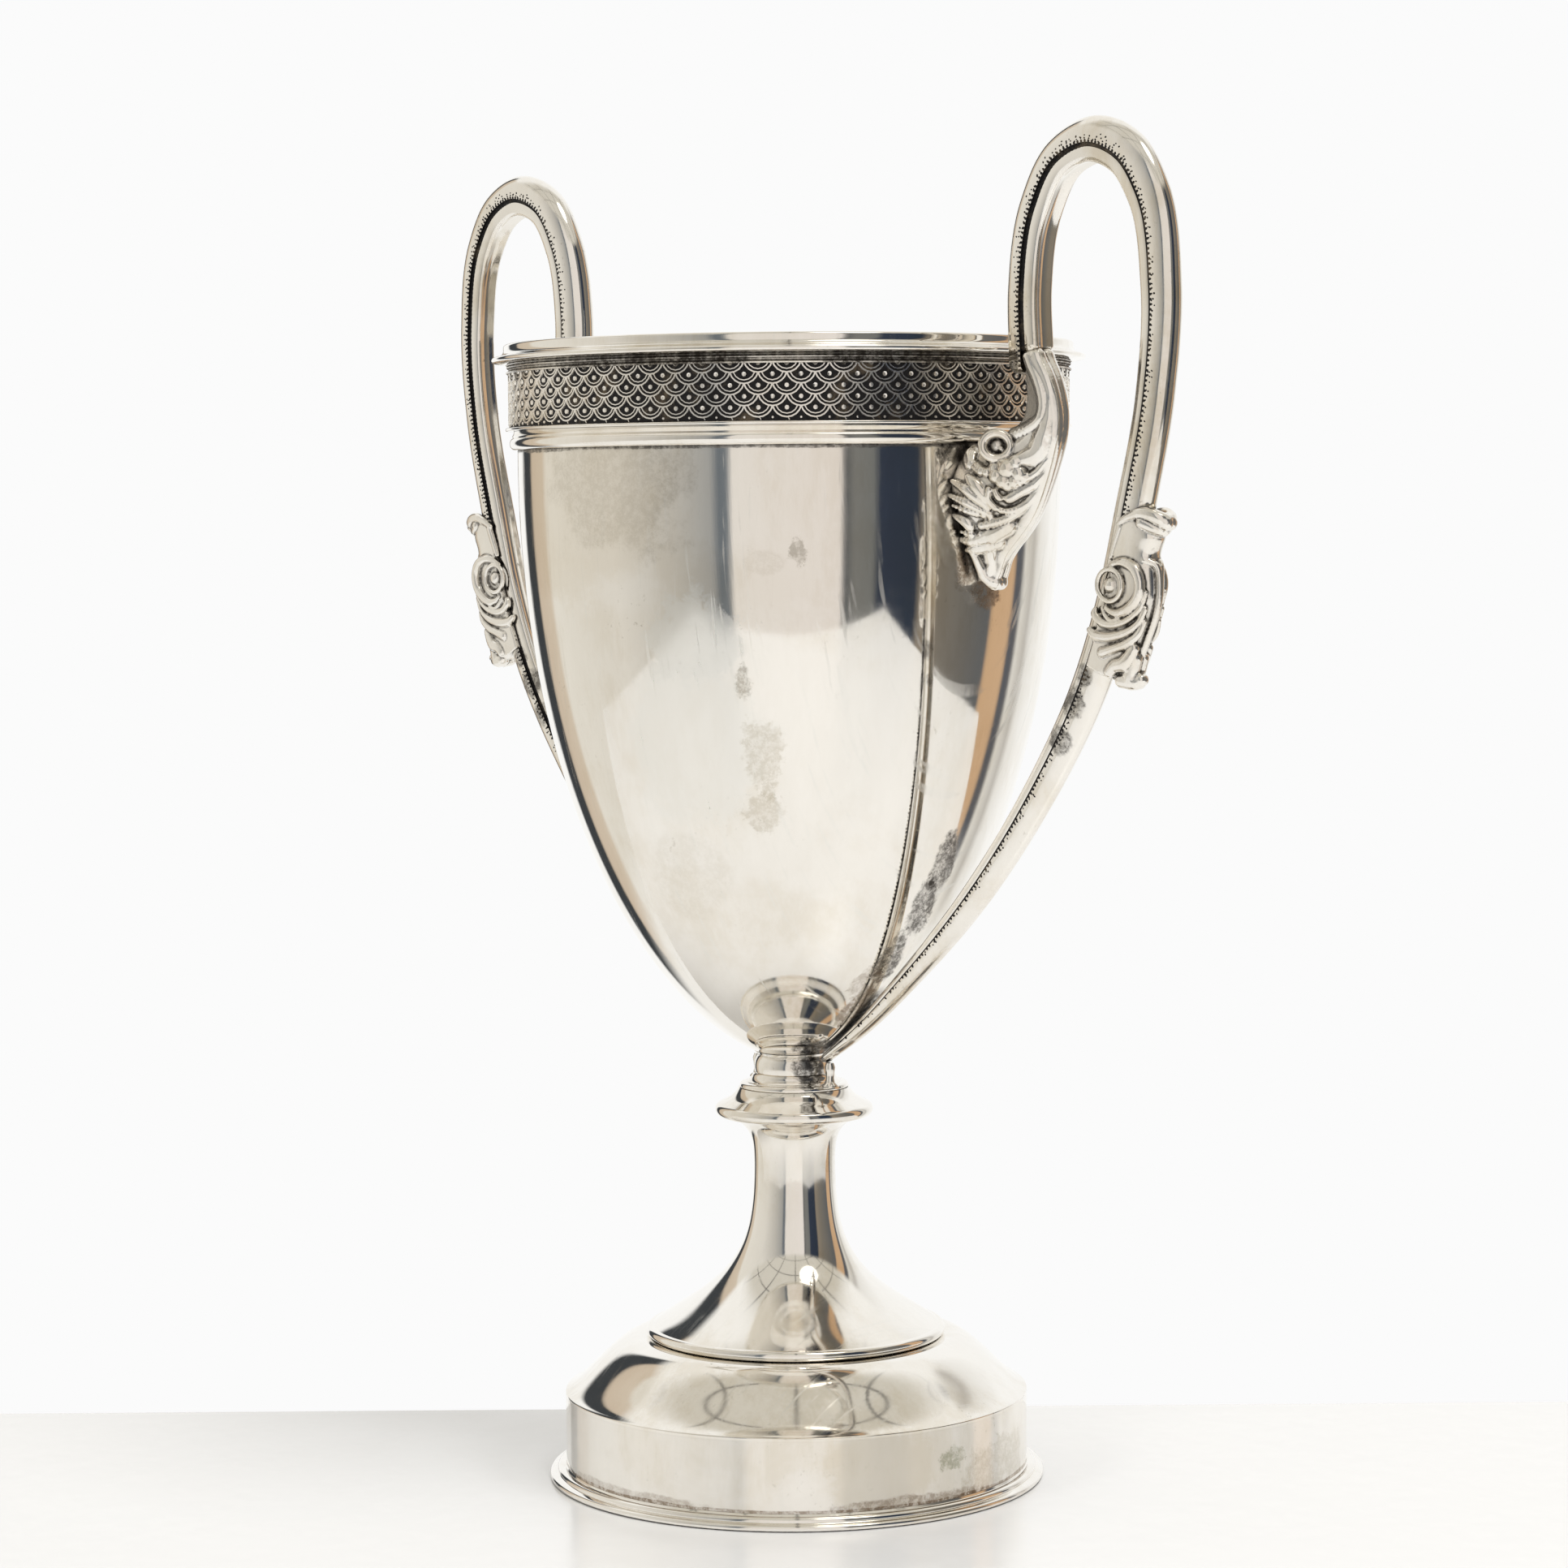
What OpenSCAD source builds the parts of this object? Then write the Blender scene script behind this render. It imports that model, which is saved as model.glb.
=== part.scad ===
// Two-handled presentation cup on a stepped, domed foot.
// Frame: origin at the middle of the face it stands on, +Z up, both handles in the X-Z plane.
// Thin silver is drawn at its real thickness, and neighbouring pieces meet face to face.

/* [Bowl] */
// Outer radius of the bowl at its straight top part
bowl_r = 61.8; // [58:0.2:63]
// Thickness of the bowl's sheet
bowl_wall = 1.0; // [0.7:0.1:1.6]
// Height of the brim above the table
brim_z = 260; // [256:0.5:264]
// Height at which the straight part ends and the curve begins
bowl_shoulder_z = 236; // [234:0.5:237]
// Height of the bowl's lowest point
bowl_bottom_z = 96; // [95:0.5:97]
// How full the curve stays near its top
bowl_fullness = 2.14; // [1.9:0.02:2.4]
// How blunt the curve is at its bottom
bowl_bluntness = 1.73; // [1.6:0.01:1.9]

/* [Rim and band] */
// Outer radius of the bead under the lip
rim_bead_r = 67.5; // [66:0.1:69]
// Radius of the lip above the bead
lip_r = 64.8; // [64:0.1:65.5]
// Outer radius of the scale band
band_r = 63.9; // [63:0.1:64.5]
// Height of the scale band's lower edge
band_low_z = 241.2; // [240.8:0.1:242]
// Height of the scale band's upper edge
band_high_z = 253.4; // [252:0.1:254]

/* [Stem and knop] */
// Radius of the collar under the bowl at its waist
collar_r = 8.8; // [8:0.1:9.5]
// Outer radius of the small ring under the collar
collar_ring_r = 12.5; // [12.2:0.1:13.2]
// Outer radius of the knop
knop_r = 18.2; // [17:0.1:19.5]
// Radius of the stem at its waist
stem_r = 9.2; // [8.5:0.1:10]
// Thickness of the stem's and the foot's sheet
foot_wall = 1.0; // [0.8:0.1:1.4]

/* [Foot] */
// Outer radius of the bead at the bottom of the stem
step_bead_r = 34.5; // [34:0.1:35.5]
// Outer radius of the upright wall of the foot
plinth_r = 53.3; // [52:0.1:54]
// Height of the upright wall's top edge
plinth_z = 20; // [18:0.5:21]
// Height of the flat shoulder of the dome
dome_z = 32.5; // [31.5:0.1:33]
// Outer radius of the ring that the cup stands on
foot_ring_r = 56.9; // [56:0.1:58]

/* [Handles] */
// Number of rings in each stretch of a handle
handle_steps = 5; // [3:1:6]
// Share of a handle's section that its hollow takes
handle_hollow = 0.76; // [0.6:0.02:0.84]

/* [Fixings] */
// Radius of the tie rod under the bowl
rod_r = 2.5; // [2:0.1:3]
// Clearance round the tie rod
rod_gap = 0.2; // [0.1:0.05:0.4]

/* [Hidden] */
$fn = 96;
SILVER = [0.86, 0.84, 0.79];
BRIGHT = [0.93, 0.91, 0.87];
OXIDE = [0.35, 0.33, 0.30];
BRASS = [0.78, 0.66, 0.38];

// Heights of the stack between the foot and the bowl
bead_top_z = dome_z + 2.5;
knop_low_z = 83.2;
knop_top_z = 89.5;
ring_top_z = knop_top_z + 1.6;
foot_ring_h = 3.2;

// Number of steps in the bowl's outline
BOWL_STEPS = 40;

// Heights of the mouldings above and below the band
wire_low_z = band_low_z - 0.7;
recess_top_z = 255.6;

// Middle line of the right handle, from its free end beside the brim, over the loop and down to
// its tip under the bowl: X, Z, half depth in the plane of the loop and half width across it
HANDLE_LINE = [
    [75.6, 250.5, 4.8, 3.8], [75.4, 254.5, 4.8, 3.9], [75.0, 269, 4.7, 3.9],
    [78.4, 286.2, 4.65, 3.9], [85.2, 296.2, 4.7, 3.9], [95.2, 299.4, 4.85, 3.7],
    [103.8, 296, 4.9, 3.5], [109.9, 287.5, 4.7, 3.4], [113.4, 268, 4.3, 3.4],
    [111.7, 245, 4.05, 3.4], [105.9, 221, 4.15, 3.4], [101, 203.3, 4.2, 3.3],
    [93.9, 185.8, 4, 3.1], [75.9, 157.6, 3.55, 2.8], [57.8, 136.2, 3.1, 2.65],
    [38.2, 117.9, 2.35, 2.4], [22, 104.6, 1.6, 2.1], [9.8, 96.4, 0.8, 1.8]
];
LINER_START = 1;
MOUNT_START = 10;
MOUNT_END = 12;

// Upright bracket with its leaf, from top to tip: Z, how far out its back is (0 where it lies on
// the bowl), how far out its ridge is, half width at the back, at the flank and at the ridge
BRACKET_ROWS = [
    [254.5, 76.2, 80.2, 3.2, 3.3, 2.6], [249.5, 77.0, 83.6, 3.1, 3.4, 2.6],
    [243.5, 77.4, 85.4, 3.2, 3.5, 2.6], [239.0, 75.4, 85.4, 3.8, 4.1, 2.6],
    [236.6, 70.0, 84.9, 4.8, 4.8, 2.6], [235.2, 0, 84.4, 6.2, 5.6, 2.6],
    [231.0, 0, 82.8, 8.6, 7.2, 2.4], [227.0, 0, 81.0, 10.4, 7.6, 2.2],
    [222.0, 0, 78.4, 9.0, 6.6, 2.0], [217.5, 0, 74.6, 7.2, 5.4, 2.0],
    [213.0, 0, 69.4, 5.4, 4.2, 1.8], [209.0, 0, 67.2, 4.0, 3.2, 1.6],
    [205.4, 0, 65.6, 2.6, 2.2, 1.4]
];

// Radius of the bowl's curve at height z, for an outline of radius r whose lowest point is at low
function bowl_curve(z, r, low) =
    z >= bowl_shoulder_z ? r
    : r * pow(1 - pow((bowl_shoulder_z - z) / (bowl_shoulder_z - low), bowl_fullness),
              1 / bowl_bluntness);
function bowl_outside(z) = bowl_curve(z, bowl_r, bowl_bottom_z);

// The bracket's rows with the bowl's own radius filled in, and the first row that lies on it
BRACKET = [
    for (row = BRACKET_ROWS)
        [row[0], row[1] == 0 ? bowl_outside(row[0]) : row[1], row[2], row[3], row[4], row[5]]
];
BRACKET_ON_BOWL = 5;

// Outline points of the bowl's curve from height a to height b, closer together near the bottom
function bowl_points(r, low, n) = [
    for (i = [0 : n])
        let (z = low + (bowl_shoulder_z - low) * pow(i / n, 2)) [bowl_curve(z, r, low), z]
];

// Part of the bowl's outline that lies on the collar, the same points as the bowl's own
function seat_points(n) = [
    for (p = bowl_points(bowl_r, bowl_bottom_z, n))
        if (p[0] > rod_r + rod_gap && p[0] < collar_r) p
];

// Arc in an outline about c, from angle a to angle b
function arc(c, r, a, b, n = 10) =
    [for (i = [0 : n]) let (t = a + (b - a) * i / n) c + r * [cos(t), sin(t)]];

// Trumpet of the stem: a waist that flares to the foot and again to the knop
function stem_outside(z) = stem_r
    + (step_bead_r - 8.7) * exp(-pow(max(z - dome_z - 0.5, 0) / 12, 1.42))
    + 6.2 * exp(-(knop_low_z - z) / 2.4);
function stem_points(wall, a, b, n = 28) =
    [for (i = [0 : n]) let (z = a + (b - a) * i / n) [stem_outside(z) - wall, z]];

// Ogee of the dome between its flat shoulder and its sharp edge, t from 0 at the edge to 1
function dome_rise(t) = sin(90 * pow(min(1.165 * t, 1), 1.32));
function dome_points(drop, n = 24) = [
    for (i = [0 : n])
        let (t = i / n)
            [plinth_r + (step_bead_r - 1.5 - plinth_r) * t,
             plinth_z + (dome_z - plinth_z) * dome_rise(t) - drop]
];

// Smooth curve through a list of rows: rows hold any numbers, and s runs from 0 to the last row.
// gap(rows, i) is the distance along the curve between rows i and i + 1.
function gap(rows, i) = norm([rows[i + 1][0] - rows[i][0], rows[i + 1][1] - rows[i][1]]);
function secant(rows, i) = (rows[i + 1] - rows[i]) / gap(rows, i);
function slope(rows, i) =
    i == 0 ? secant(rows, 0)
    : i == len(rows) - 1 ? secant(rows, i - 1)
    : (secant(rows, i - 1) * gap(rows, i) + secant(rows, i) * gap(rows, i - 1))
        / (gap(rows, i - 1) + gap(rows, i));
function between(p, q, m, n, t) =
    p * (2 * t * t * t - 3 * t * t + 1) + m * (t * t * t - 2 * t * t + t)
    + q * (3 * t * t - 2 * t * t * t) + n * (t * t * t - t * t);
function row_at(rows, s) =
    let (i = max(min(floor(s), len(rows) - 2), 0), g = gap(rows, i))
        between(rows[i], rows[i + 1], slope(rows, i) * g, slope(rows, i + 1) * g, s - i);

// Ring of a handle at place s: section points are shares of the half depth and half width
function handle_ring(s, section) =
    let (p = row_at(HANDLE_LINE, s),
         ahead = row_at(HANDLE_LINE, s + 0.01) - row_at(HANDLE_LINE, s - 0.01),
         run = norm([ahead[0], ahead[1]]),
         out = [-ahead[1] / run, ahead[0] / run])
        [for (q = section)
            [p[0] + out[0] * q[0] * p[2], q[1] * p[3], p[1] + out[1] * q[0] * p[2]]];

// Skin over a list of rings with the same number of points each, closed at both ends
module skin(rings) {
    n = len(rings[0]);
    last = len(rings) - 1;
    points = [for (ring = rings) each ring];
    sides = [
        for (i = [0 : last - 1], k = [0 : n - 1])
            [i * n + k, i * n + (k + 1) % n, (i + 1) * n + (k + 1) % n, (i + 1) * n + k]
    ];
    first_cap = [for (k = [n - 1 : -1 : 0]) k];
    last_cap = [for (k = [0 : n - 1]) last * n + k];
    polyhedron(points = points, faces = concat(sides, [first_cap, last_cap]), convexity = 6);
}

// Angles round the outer half of a handle's section, shared by the shell and the scroll mount
SHELL_REACH = 100;
SHELL_STEPS = 14;
// How much deeper the shell's inner edge lies than its outer edge
SHELL_BEVEL = 0.03;
function shell_angle(k) = -SHELL_REACH + 2 * SHELL_REACH * k / SHELL_STEPS;

// Section of the shell: an outer arc and the hollow behind it
function shell_section(hollow) =
    let (lip = acos(cos(SHELL_REACH) / handle_hollow), n = 8)
        concat([for (k = [0 : SHELL_STEPS]) [cos(shell_angle(k)), sin(shell_angle(k))]],
               [for (k = [0 : n])
                   let (t = lip - 2 * lip * k / n)
                       [cos(SHELL_REACH) + SHELL_BEVEL
                            + hollow * (handle_hollow * cos(t) - cos(SHELL_REACH)),
                        hollow * handle_hollow * sin(t)]]);

// Section of the liner: flat against the shell's edges and hollowed towards the loop
LINER_SECTION = [
    [cos(SHELL_REACH), 0.84], [-0.55, 0.84], [-0.92, 0.76], [-1, 0.62], [-0.86, 0],
    [-1, -0.62], [-0.92, -0.76], [-0.55, -0.84], [cos(SHELL_REACH), -0.84]
];

module handle_shell() {
    last = len(HANDLE_LINE) - 1;
    color(BRIGHT)
        skin([
            for (j = [0 : last * handle_steps])
                let (at_end = j == 0 || j == last * handle_steps)
                    handle_ring(j / handle_steps, shell_section(at_end ? 0.4 : 1))
        ]);
}

module handle_liner() {
    last = len(HANDLE_LINE) - 1;
    color(SILVER)
        skin([
            for (j = [LINER_START * handle_steps : last * handle_steps])
                handle_ring(j / handle_steps, LINER_SECTION)
        ]);
}

// Ring of the scroll mount: it wraps the shell and stands proud of it, most at its outer ridge
function mount_ring(s) =
    let (t = (s - MOUNT_START) / (MOUNT_END - MOUNT_START),
         p = row_at(HANDLE_LINE, s),
         ridge = 1 + (1.8 + 3.2 * sin(180 * pow(t, 1.5))) / p[2],
         flank = 1 + 1.1 / p[3])
        handle_ring(s, concat(
            [for (k = [1 : SHELL_STEPS - 1])
                [ridge * cos(shell_angle(k)), flank * sin(shell_angle(k))]],
            [for (k = [SHELL_STEPS - 1 : -1 : 1]) [cos(shell_angle(k)), sin(shell_angle(k))]]));

module scroll_mount() {
    color(BRIGHT)
        skin([
            for (j = [MOUNT_START * handle_steps : MOUNT_END * handle_steps])
                mount_ring(j / handle_steps)
        ]);
}

// Level outline of the bracket at place s: its back follows the bowl's round
function bracket_ring(s) =
    let (p = row_at(BRACKET, s),
         back = s >= BRACKET_ON_BOWL ? bowl_outside(p[0]) : p[1],
         deep = p[2] - back,
         n = 4,
         half = concat(
             [for (i = [0 : n]) let (y = p[3] * i / n) [sqrt(back * back - y * y), y]],
             [[back + 0.22 * deep, p[3] * 1.02], [back + 0.6 * deep, p[4]],
              [back + 0.9 * deep, p[5] * 1.2], [p[2], p[5] * 0.6]]),
         m = len(half))
        [for (k = [0 : 2 * m - 2])
            let (q = k < m ? half[m - 1 - k] : half[k - m + 1])
                [q[0], k < m ? q[1] : -q[1], p[0]]];

module leaf_bracket() {
    steps = 2;
    last = (len(BRACKET) - 1) * steps;
    color(SILVER)
        skin([for (j = [0 : last]) bracket_ring(j / steps)]);
}

module tip_post() {
    color(SILVER)
        translate([12.1, 0, ring_top_z])
            cylinder(r = 1.1, h = 96.4 - ring_top_z, $fn = 32);
}

module bowl() {
    inner = bowl_points(bowl_r - bowl_wall, bowl_bottom_z + bowl_wall, BOWL_STEPS);
    color(SILVER)
        rotate_extrude()
            polygon(concat(
                bowl_points(bowl_r, bowl_bottom_z, BOWL_STEPS),
                [[bowl_r, brim_z], [bowl_r - bowl_wall, brim_z]],
                [for (i = [BOWL_STEPS : -1 : 0]) inner[i]]));
}

module rim_moulding() {
    bead = 1.2;
    color(BRIGHT)
        rotate_extrude()
            polygon(concat(
                [[bowl_r, recess_top_z - 2.2], [lip_r - 0.3, recess_top_z - 2.2]],
                [[lip_r - 0.3, recess_top_z - 0.3]],
                arc([rim_bead_r - bead, recess_top_z + bead - 0.3], bead, -90, 60),
                [[lip_r, recess_top_z + 2.3]],
                arc([lip_r - 0.9, brim_z - 1.1], 1.1, 0, 90),
                [[bowl_r, brim_z]]));
}

module scale_band() {
    color(OXIDE)
        rotate_extrude()
            translate([bowl_r, band_low_z])
                square([band_r - bowl_r, band_high_z - band_low_z]);
}

module band_wire() {
    color(BRIGHT)
        rotate_extrude()
            translate([bowl_r, wire_low_z])
                square([band_r + 0.6 - bowl_r, band_low_z - wire_low_z]);
}

module shoulder_moulding() {
    roll = 1.5;
    hollow = 1.7;
    color(SILVER)
        rotate_extrude()
            polygon(concat(
                [[bowl_r, bowl_shoulder_z + 0.2]],
                arc([bowl_r + 0.3, bowl_shoulder_z + 0.2 + roll], roll, -90, 60),
                arc([bowl_r + 2.5, wire_low_z], hollow, 220, 180, 6),
                [[bowl_r, wire_low_z]]));
}

module collar() {
    seat = seat_points(BOWL_STEPS);
    bore = rod_r + rod_gap;
    color(SILVER)
        rotate_extrude()
            polygon(concat(
                [[bore, ring_top_z], [10.5, ring_top_z], [9.4, ring_top_z + 1.2]],
                [[collar_r, ring_top_z + 3.4], [collar_r, bowl_outside_z(collar_r)]],
                [for (i = [len(seat) - 1 : -1 : 0]) seat[i]],
                [[bore, bowl_outside_z(bore)]]));
}

// Height of the bowl's outside where its radius is r
function bowl_outside_z(r) = bowl_shoulder_z
    - (bowl_shoulder_z - bowl_bottom_z)
        * pow(1 - pow(r / bowl_r, bowl_bluntness), 1 / bowl_fullness);

module collar_ring() {
    color(BRIGHT)
        rotate_extrude()
            polygon(concat(
                [[rod_r + rod_gap, knop_top_z], [collar_ring_r - 0.7, knop_top_z]],
                arc([collar_ring_r - 0.8, knop_top_z + 0.8], 0.8, -80, 80),
                [[rod_r + rod_gap, ring_top_z]]));
}

module knop() {
    nose = 1.55;
    color(SILVER)
        rotate_extrude()
            polygon(concat(
                [[rod_r + rod_gap, knop_low_z], [knop_r - nose - 0.2, knop_low_z]],
                arc([knop_r - nose, knop_low_z + nose], nose, -90, 60),
                [[15.2, knop_top_z - 1.9], [13.2, knop_top_z - 1.0], [12.1, knop_top_z]],
                [[rod_r + rod_gap, knop_top_z]]));
}

module stem() {
    color(SILVER)
        rotate_extrude()
            polygon(concat(
                stem_points(0, bead_top_z, knop_low_z),
                [for (p = stem_points(foot_wall, knop_low_z, bead_top_z)) p]));
}

module step_bead() {
    half = (bead_top_z - dome_z) / 2;
    color(BRIGHT)
        rotate_extrude()
            polygon(concat(
                [[step_bead_r - 2.6, dome_z]],
                arc([step_bead_r - half, dome_z + half], half, -90, 90),
                [[step_bead_r - 2.6, bead_top_z]]));
}

module plinth_dome() {
    outer = dome_points(0);
    inner = dome_points(foot_wall);
    n = len(outer) - 1;
    color(SILVER)
        rotate_extrude()
            polygon(concat(
                outer,
                [for (i = [n : -1 : 1]) inner[i]],
                [[plinth_r - foot_wall, plinth_z - foot_wall], [plinth_r, plinth_z - foot_wall]]));
}

module plinth_wall() {
    color(SILVER)
        rotate_extrude()
            translate([plinth_r - foot_wall, foot_ring_h])
                square([foot_wall, plinth_z - foot_wall - foot_ring_h]);
}

module foot_ring() {
    inner = 50.5;
    color(BRIGHT)
        rotate_extrude()
            polygon(concat(
                [[inner, 0], [foot_ring_r - 0.5, 0], [foot_ring_r, 0.5]],
                arc([foot_ring_r - 0.6, 1.4], 0.6, 0, 90, 6),
                arc([foot_ring_r - 2.1, 2.3], 0.9, 0, 90, 6),
                [[inner, foot_ring_h]]));
}

module base_disc() {
    color(OXIDE)
        translate([0, 0, 1.2])
            cylinder(r = 50.5, h = 1.0);
}

module tie_rod() {
    pad_r = 2.6;
    color(BRASS)
        rotate_extrude()
            polygon([
                [0, 21], [rod_r - 0.4, 21], [rod_r, 21.4],
                [rod_r, bowl_bottom_z - 0.4], [pad_r, bowl_bottom_z], [0, bowl_bottom_z]
            ]);
}

module clamp_plate() {
    color(SILVER)
        translate([0, 0, dome_z - foot_wall - 1.8])
            difference() {
                cylinder(r = 36.5, h = 1.8);
                translate([0, 0, -1])
                    cylinder(r = rod_r + rod_gap, h = 4);
            }
}

module clamp_washer() {
    color(BRASS)
        translate([0, 0, dome_z - foot_wall - 3.0])
            difference() {
                cylinder(r = 7, h = 1.2);
                translate([0, 0, -1])
                    cylinder(r = rod_r + rod_gap, h = 4);
            }
}

module clamp_nut() {
    color(BRASS)
        translate([0, 0, dome_z - foot_wall - 7.0])
            difference() {
                cylinder(r = 4.6, h = 4, $fn = 6);
                translate([0, 0, -1])
                    cylinder(r = rod_r, h = 6);
            }
}

// The left handle and its fittings are the right one's mirror image
module left() {
    mirror([1, 0, 0]) children();
}

bowl();
rim_moulding();
scale_band();
band_wire();
shoulder_moulding();
collar();
collar_ring();
knop();
stem();
step_bead();
plinth_dome();
plinth_wall();
foot_ring();
base_disc();
tie_rod();
clamp_plate();
clamp_washer();
clamp_nut();
handle_shell();  // right_handle_shell
handle_liner();  // right_handle_liner
leaf_bracket();  // right_leaf_bracket
scroll_mount();  // right_scroll_mount
tip_post();  // right_tip_post
left() handle_shell();  // left_handle_shell
left() handle_liner();  // left_handle_liner
left() leaf_bracket();  // left_leaf_bracket
left() scroll_mount();  // left_scroll_mount
left() tip_post();  // left_tip_post
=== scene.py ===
import random
from math import acos, cos, exp, floor, pi, radians, sin, sqrt, tau

import bmesh
import bpy
from mathutils import Matrix, Vector


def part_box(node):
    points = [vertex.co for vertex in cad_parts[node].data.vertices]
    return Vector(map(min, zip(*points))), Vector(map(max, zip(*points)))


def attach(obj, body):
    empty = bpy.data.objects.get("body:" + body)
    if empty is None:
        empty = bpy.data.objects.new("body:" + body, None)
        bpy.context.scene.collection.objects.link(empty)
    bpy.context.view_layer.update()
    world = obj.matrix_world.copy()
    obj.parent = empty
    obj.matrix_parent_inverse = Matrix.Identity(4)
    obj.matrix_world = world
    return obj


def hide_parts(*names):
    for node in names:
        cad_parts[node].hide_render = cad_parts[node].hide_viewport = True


# Two-handled presentation cup. Outlines are in millimetres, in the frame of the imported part.

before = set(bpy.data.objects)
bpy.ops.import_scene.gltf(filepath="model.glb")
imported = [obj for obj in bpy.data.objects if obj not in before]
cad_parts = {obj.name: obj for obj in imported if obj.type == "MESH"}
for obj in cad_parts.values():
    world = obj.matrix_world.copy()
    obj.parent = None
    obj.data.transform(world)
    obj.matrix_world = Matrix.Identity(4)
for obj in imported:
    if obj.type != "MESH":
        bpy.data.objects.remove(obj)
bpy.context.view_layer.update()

MM = 0.001


def low(node):
    """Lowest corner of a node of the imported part, in millimetres."""
    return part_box(node)[0] / MM


def high(node):
    """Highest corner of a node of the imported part, in millimetres."""
    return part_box(node)[1] / MM


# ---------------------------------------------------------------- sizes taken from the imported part

BOWL_R = high("bowl").x
BRIM_Z = high("bowl").z
BOWL_BOTTOM = low("bowl").z
BOWL_SHOULDER = low("shoulder_moulding").z - 0.2
BOWL_WALL = 1.0
BOWL_FULLNESS = 2.14
BOWL_BLUNTNESS = 1.73

BAND_R = high("scale_band").x
BAND_LOW = low("scale_band").z
BAND_HIGH = high("scale_band").z
BEAD_R = high("rim_moulding").x
WIRE_R = high("band_wire").x
WIRE_LOW = low("band_wire").z

COLLAR_LOW = low("collar").z
COLLAR_R = 8.4
RING_R = high("collar_ring").x
KNOP_R = high("knop").x
KNOP_LOW = low("knop").z
KNOP_TOP = high("knop").z
BEAD_LOW = low("step_bead").z
BEAD_TOP = high("step_bead").z
STEP_R = high("step_bead").x
PLINTH_R = high("plinth_wall").x
PLINTH_Z = high("plinth_wall").z + 1
FOOT_R = high("foot_ring").x
FOOT_H = high("foot_ring").z

# Turned pieces are spun in this many steps
ROUND = 224
# Edges that turn by more than this, in degrees, are shaded as sharp
SHARP_ANGLE = 38
# Hole that the pieces of the stem leave for the rod
ROD_HOLE_R = 2.7
FOOT_HOLE_R = 50.5
# Underside of the lip, above the recess
LIP_LOW = 255.4
# Heights of the bowl's straight part at which its outline has a point
STRAIGHT_HEIGHTS = (240, 245, 250, 255)

# Middle line of the right handle from its free end beside the brim, over the loop and down to its
# tip: X, Z, half depth in the plane of the loop and half width across it
HANDLE_LINE = [
    (75.6, 250.5, 4.8, 3.8), (75.4, 254.5, 4.8, 3.9), (75.0, 269, 4.7, 3.9),
    (78.4, 286.2, 4.65, 3.9), (85.2, 296.2, 4.7, 3.9), (95.2, 299.4, 4.85, 3.7),
    (103.8, 296, 4.9, 3.5), (109.9, 287.5, 4.7, 3.4), (113.4, 268, 4.3, 3.4),
    (111.7, 245, 4.05, 3.4), (105.9, 221, 4.15, 3.4), (101, 203.3, 4.2, 3.3),
    (93.9, 185.8, 4, 3.1), (75.9, 157.6, 3.55, 2.8), (57.8, 136.2, 3.1, 2.65),
    (38.2, 117.9, 2.35, 2.4), (22, 104.6, 1.6, 2.1), (9.8, 96.4, 0.8, 1.8),
]
# Half angle of the shell's section, where its lips meet the groove
SHELL_REACH = 100
# Pitch of the milling along the shell's lips
MILL_PITCH = 1.05

# Ridge of the leaf bracket from top to tip: Z, back (0 where it lies on the bowl), ridge, half
# width at the back, at the flank and at the ridge
BRACKET_ROWS = [
    (254.5, 76.2, 80.2, 3.2, 3.3, 2.6), (249.5, 77.0, 83.6, 3.1, 3.4, 2.6),
    (243.5, 77.4, 85.4, 3.2, 3.5, 2.6), (239.0, 75.4, 85.4, 3.8, 4.1, 2.6),
    (236.6, 70.0, 84.9, 4.8, 4.8, 2.6), (235.2, 0, 84.4, 6.2, 5.6, 2.6),
    (231.0, 0, 82.8, 8.6, 7.2, 2.4), (227.0, 0, 81.0, 10.4, 7.6, 2.2),
    (222.0, 0, 78.4, 9.0, 6.6, 2.0), (217.5, 0, 74.6, 7.2, 5.4, 2.0),
    (213.0, 0, 69.4, 5.4, 4.2, 1.8), (209.0, 0, 67.2, 4.0, 3.2, 1.6),
    (205.4, 0, 65.6, 2.6, 2.2, 1.4),
]


# ---------------------------------------------------------------- outlines

def bowl_curve(z, r, bottom):
    """Radius of the bowl's curve at height z."""
    if z >= BOWL_SHOULDER:
        return r
    drop = (BOWL_SHOULDER - z) / (BOWL_SHOULDER - bottom)
    return r * max(1 - drop ** BOWL_FULLNESS, 0) ** (1 / BOWL_BLUNTNESS)


def bowl_outside(z):
    return bowl_curve(z, BOWL_R, BOWL_BOTTOM)


def bowl_line(r, bottom, steps):
    """The bowl's curve from its pole up to the straight part, closer together at the pole."""
    rise = BOWL_SHOULDER - bottom
    heights = [bottom + rise * (i / steps) ** 2 for i in range(steps + 1)]
    return [(bowl_curve(z, r, bottom), z) for z in heights]


def arc(x, z, r, start, end, steps=10):
    """Arc in an outline about (x, z), from angle start to angle end."""
    angles = [radians(start + (end - start) * i / steps) for i in range(steps + 1)]
    return [(x + r * cos(a), z + r * sin(a)) for a in angles]


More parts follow.
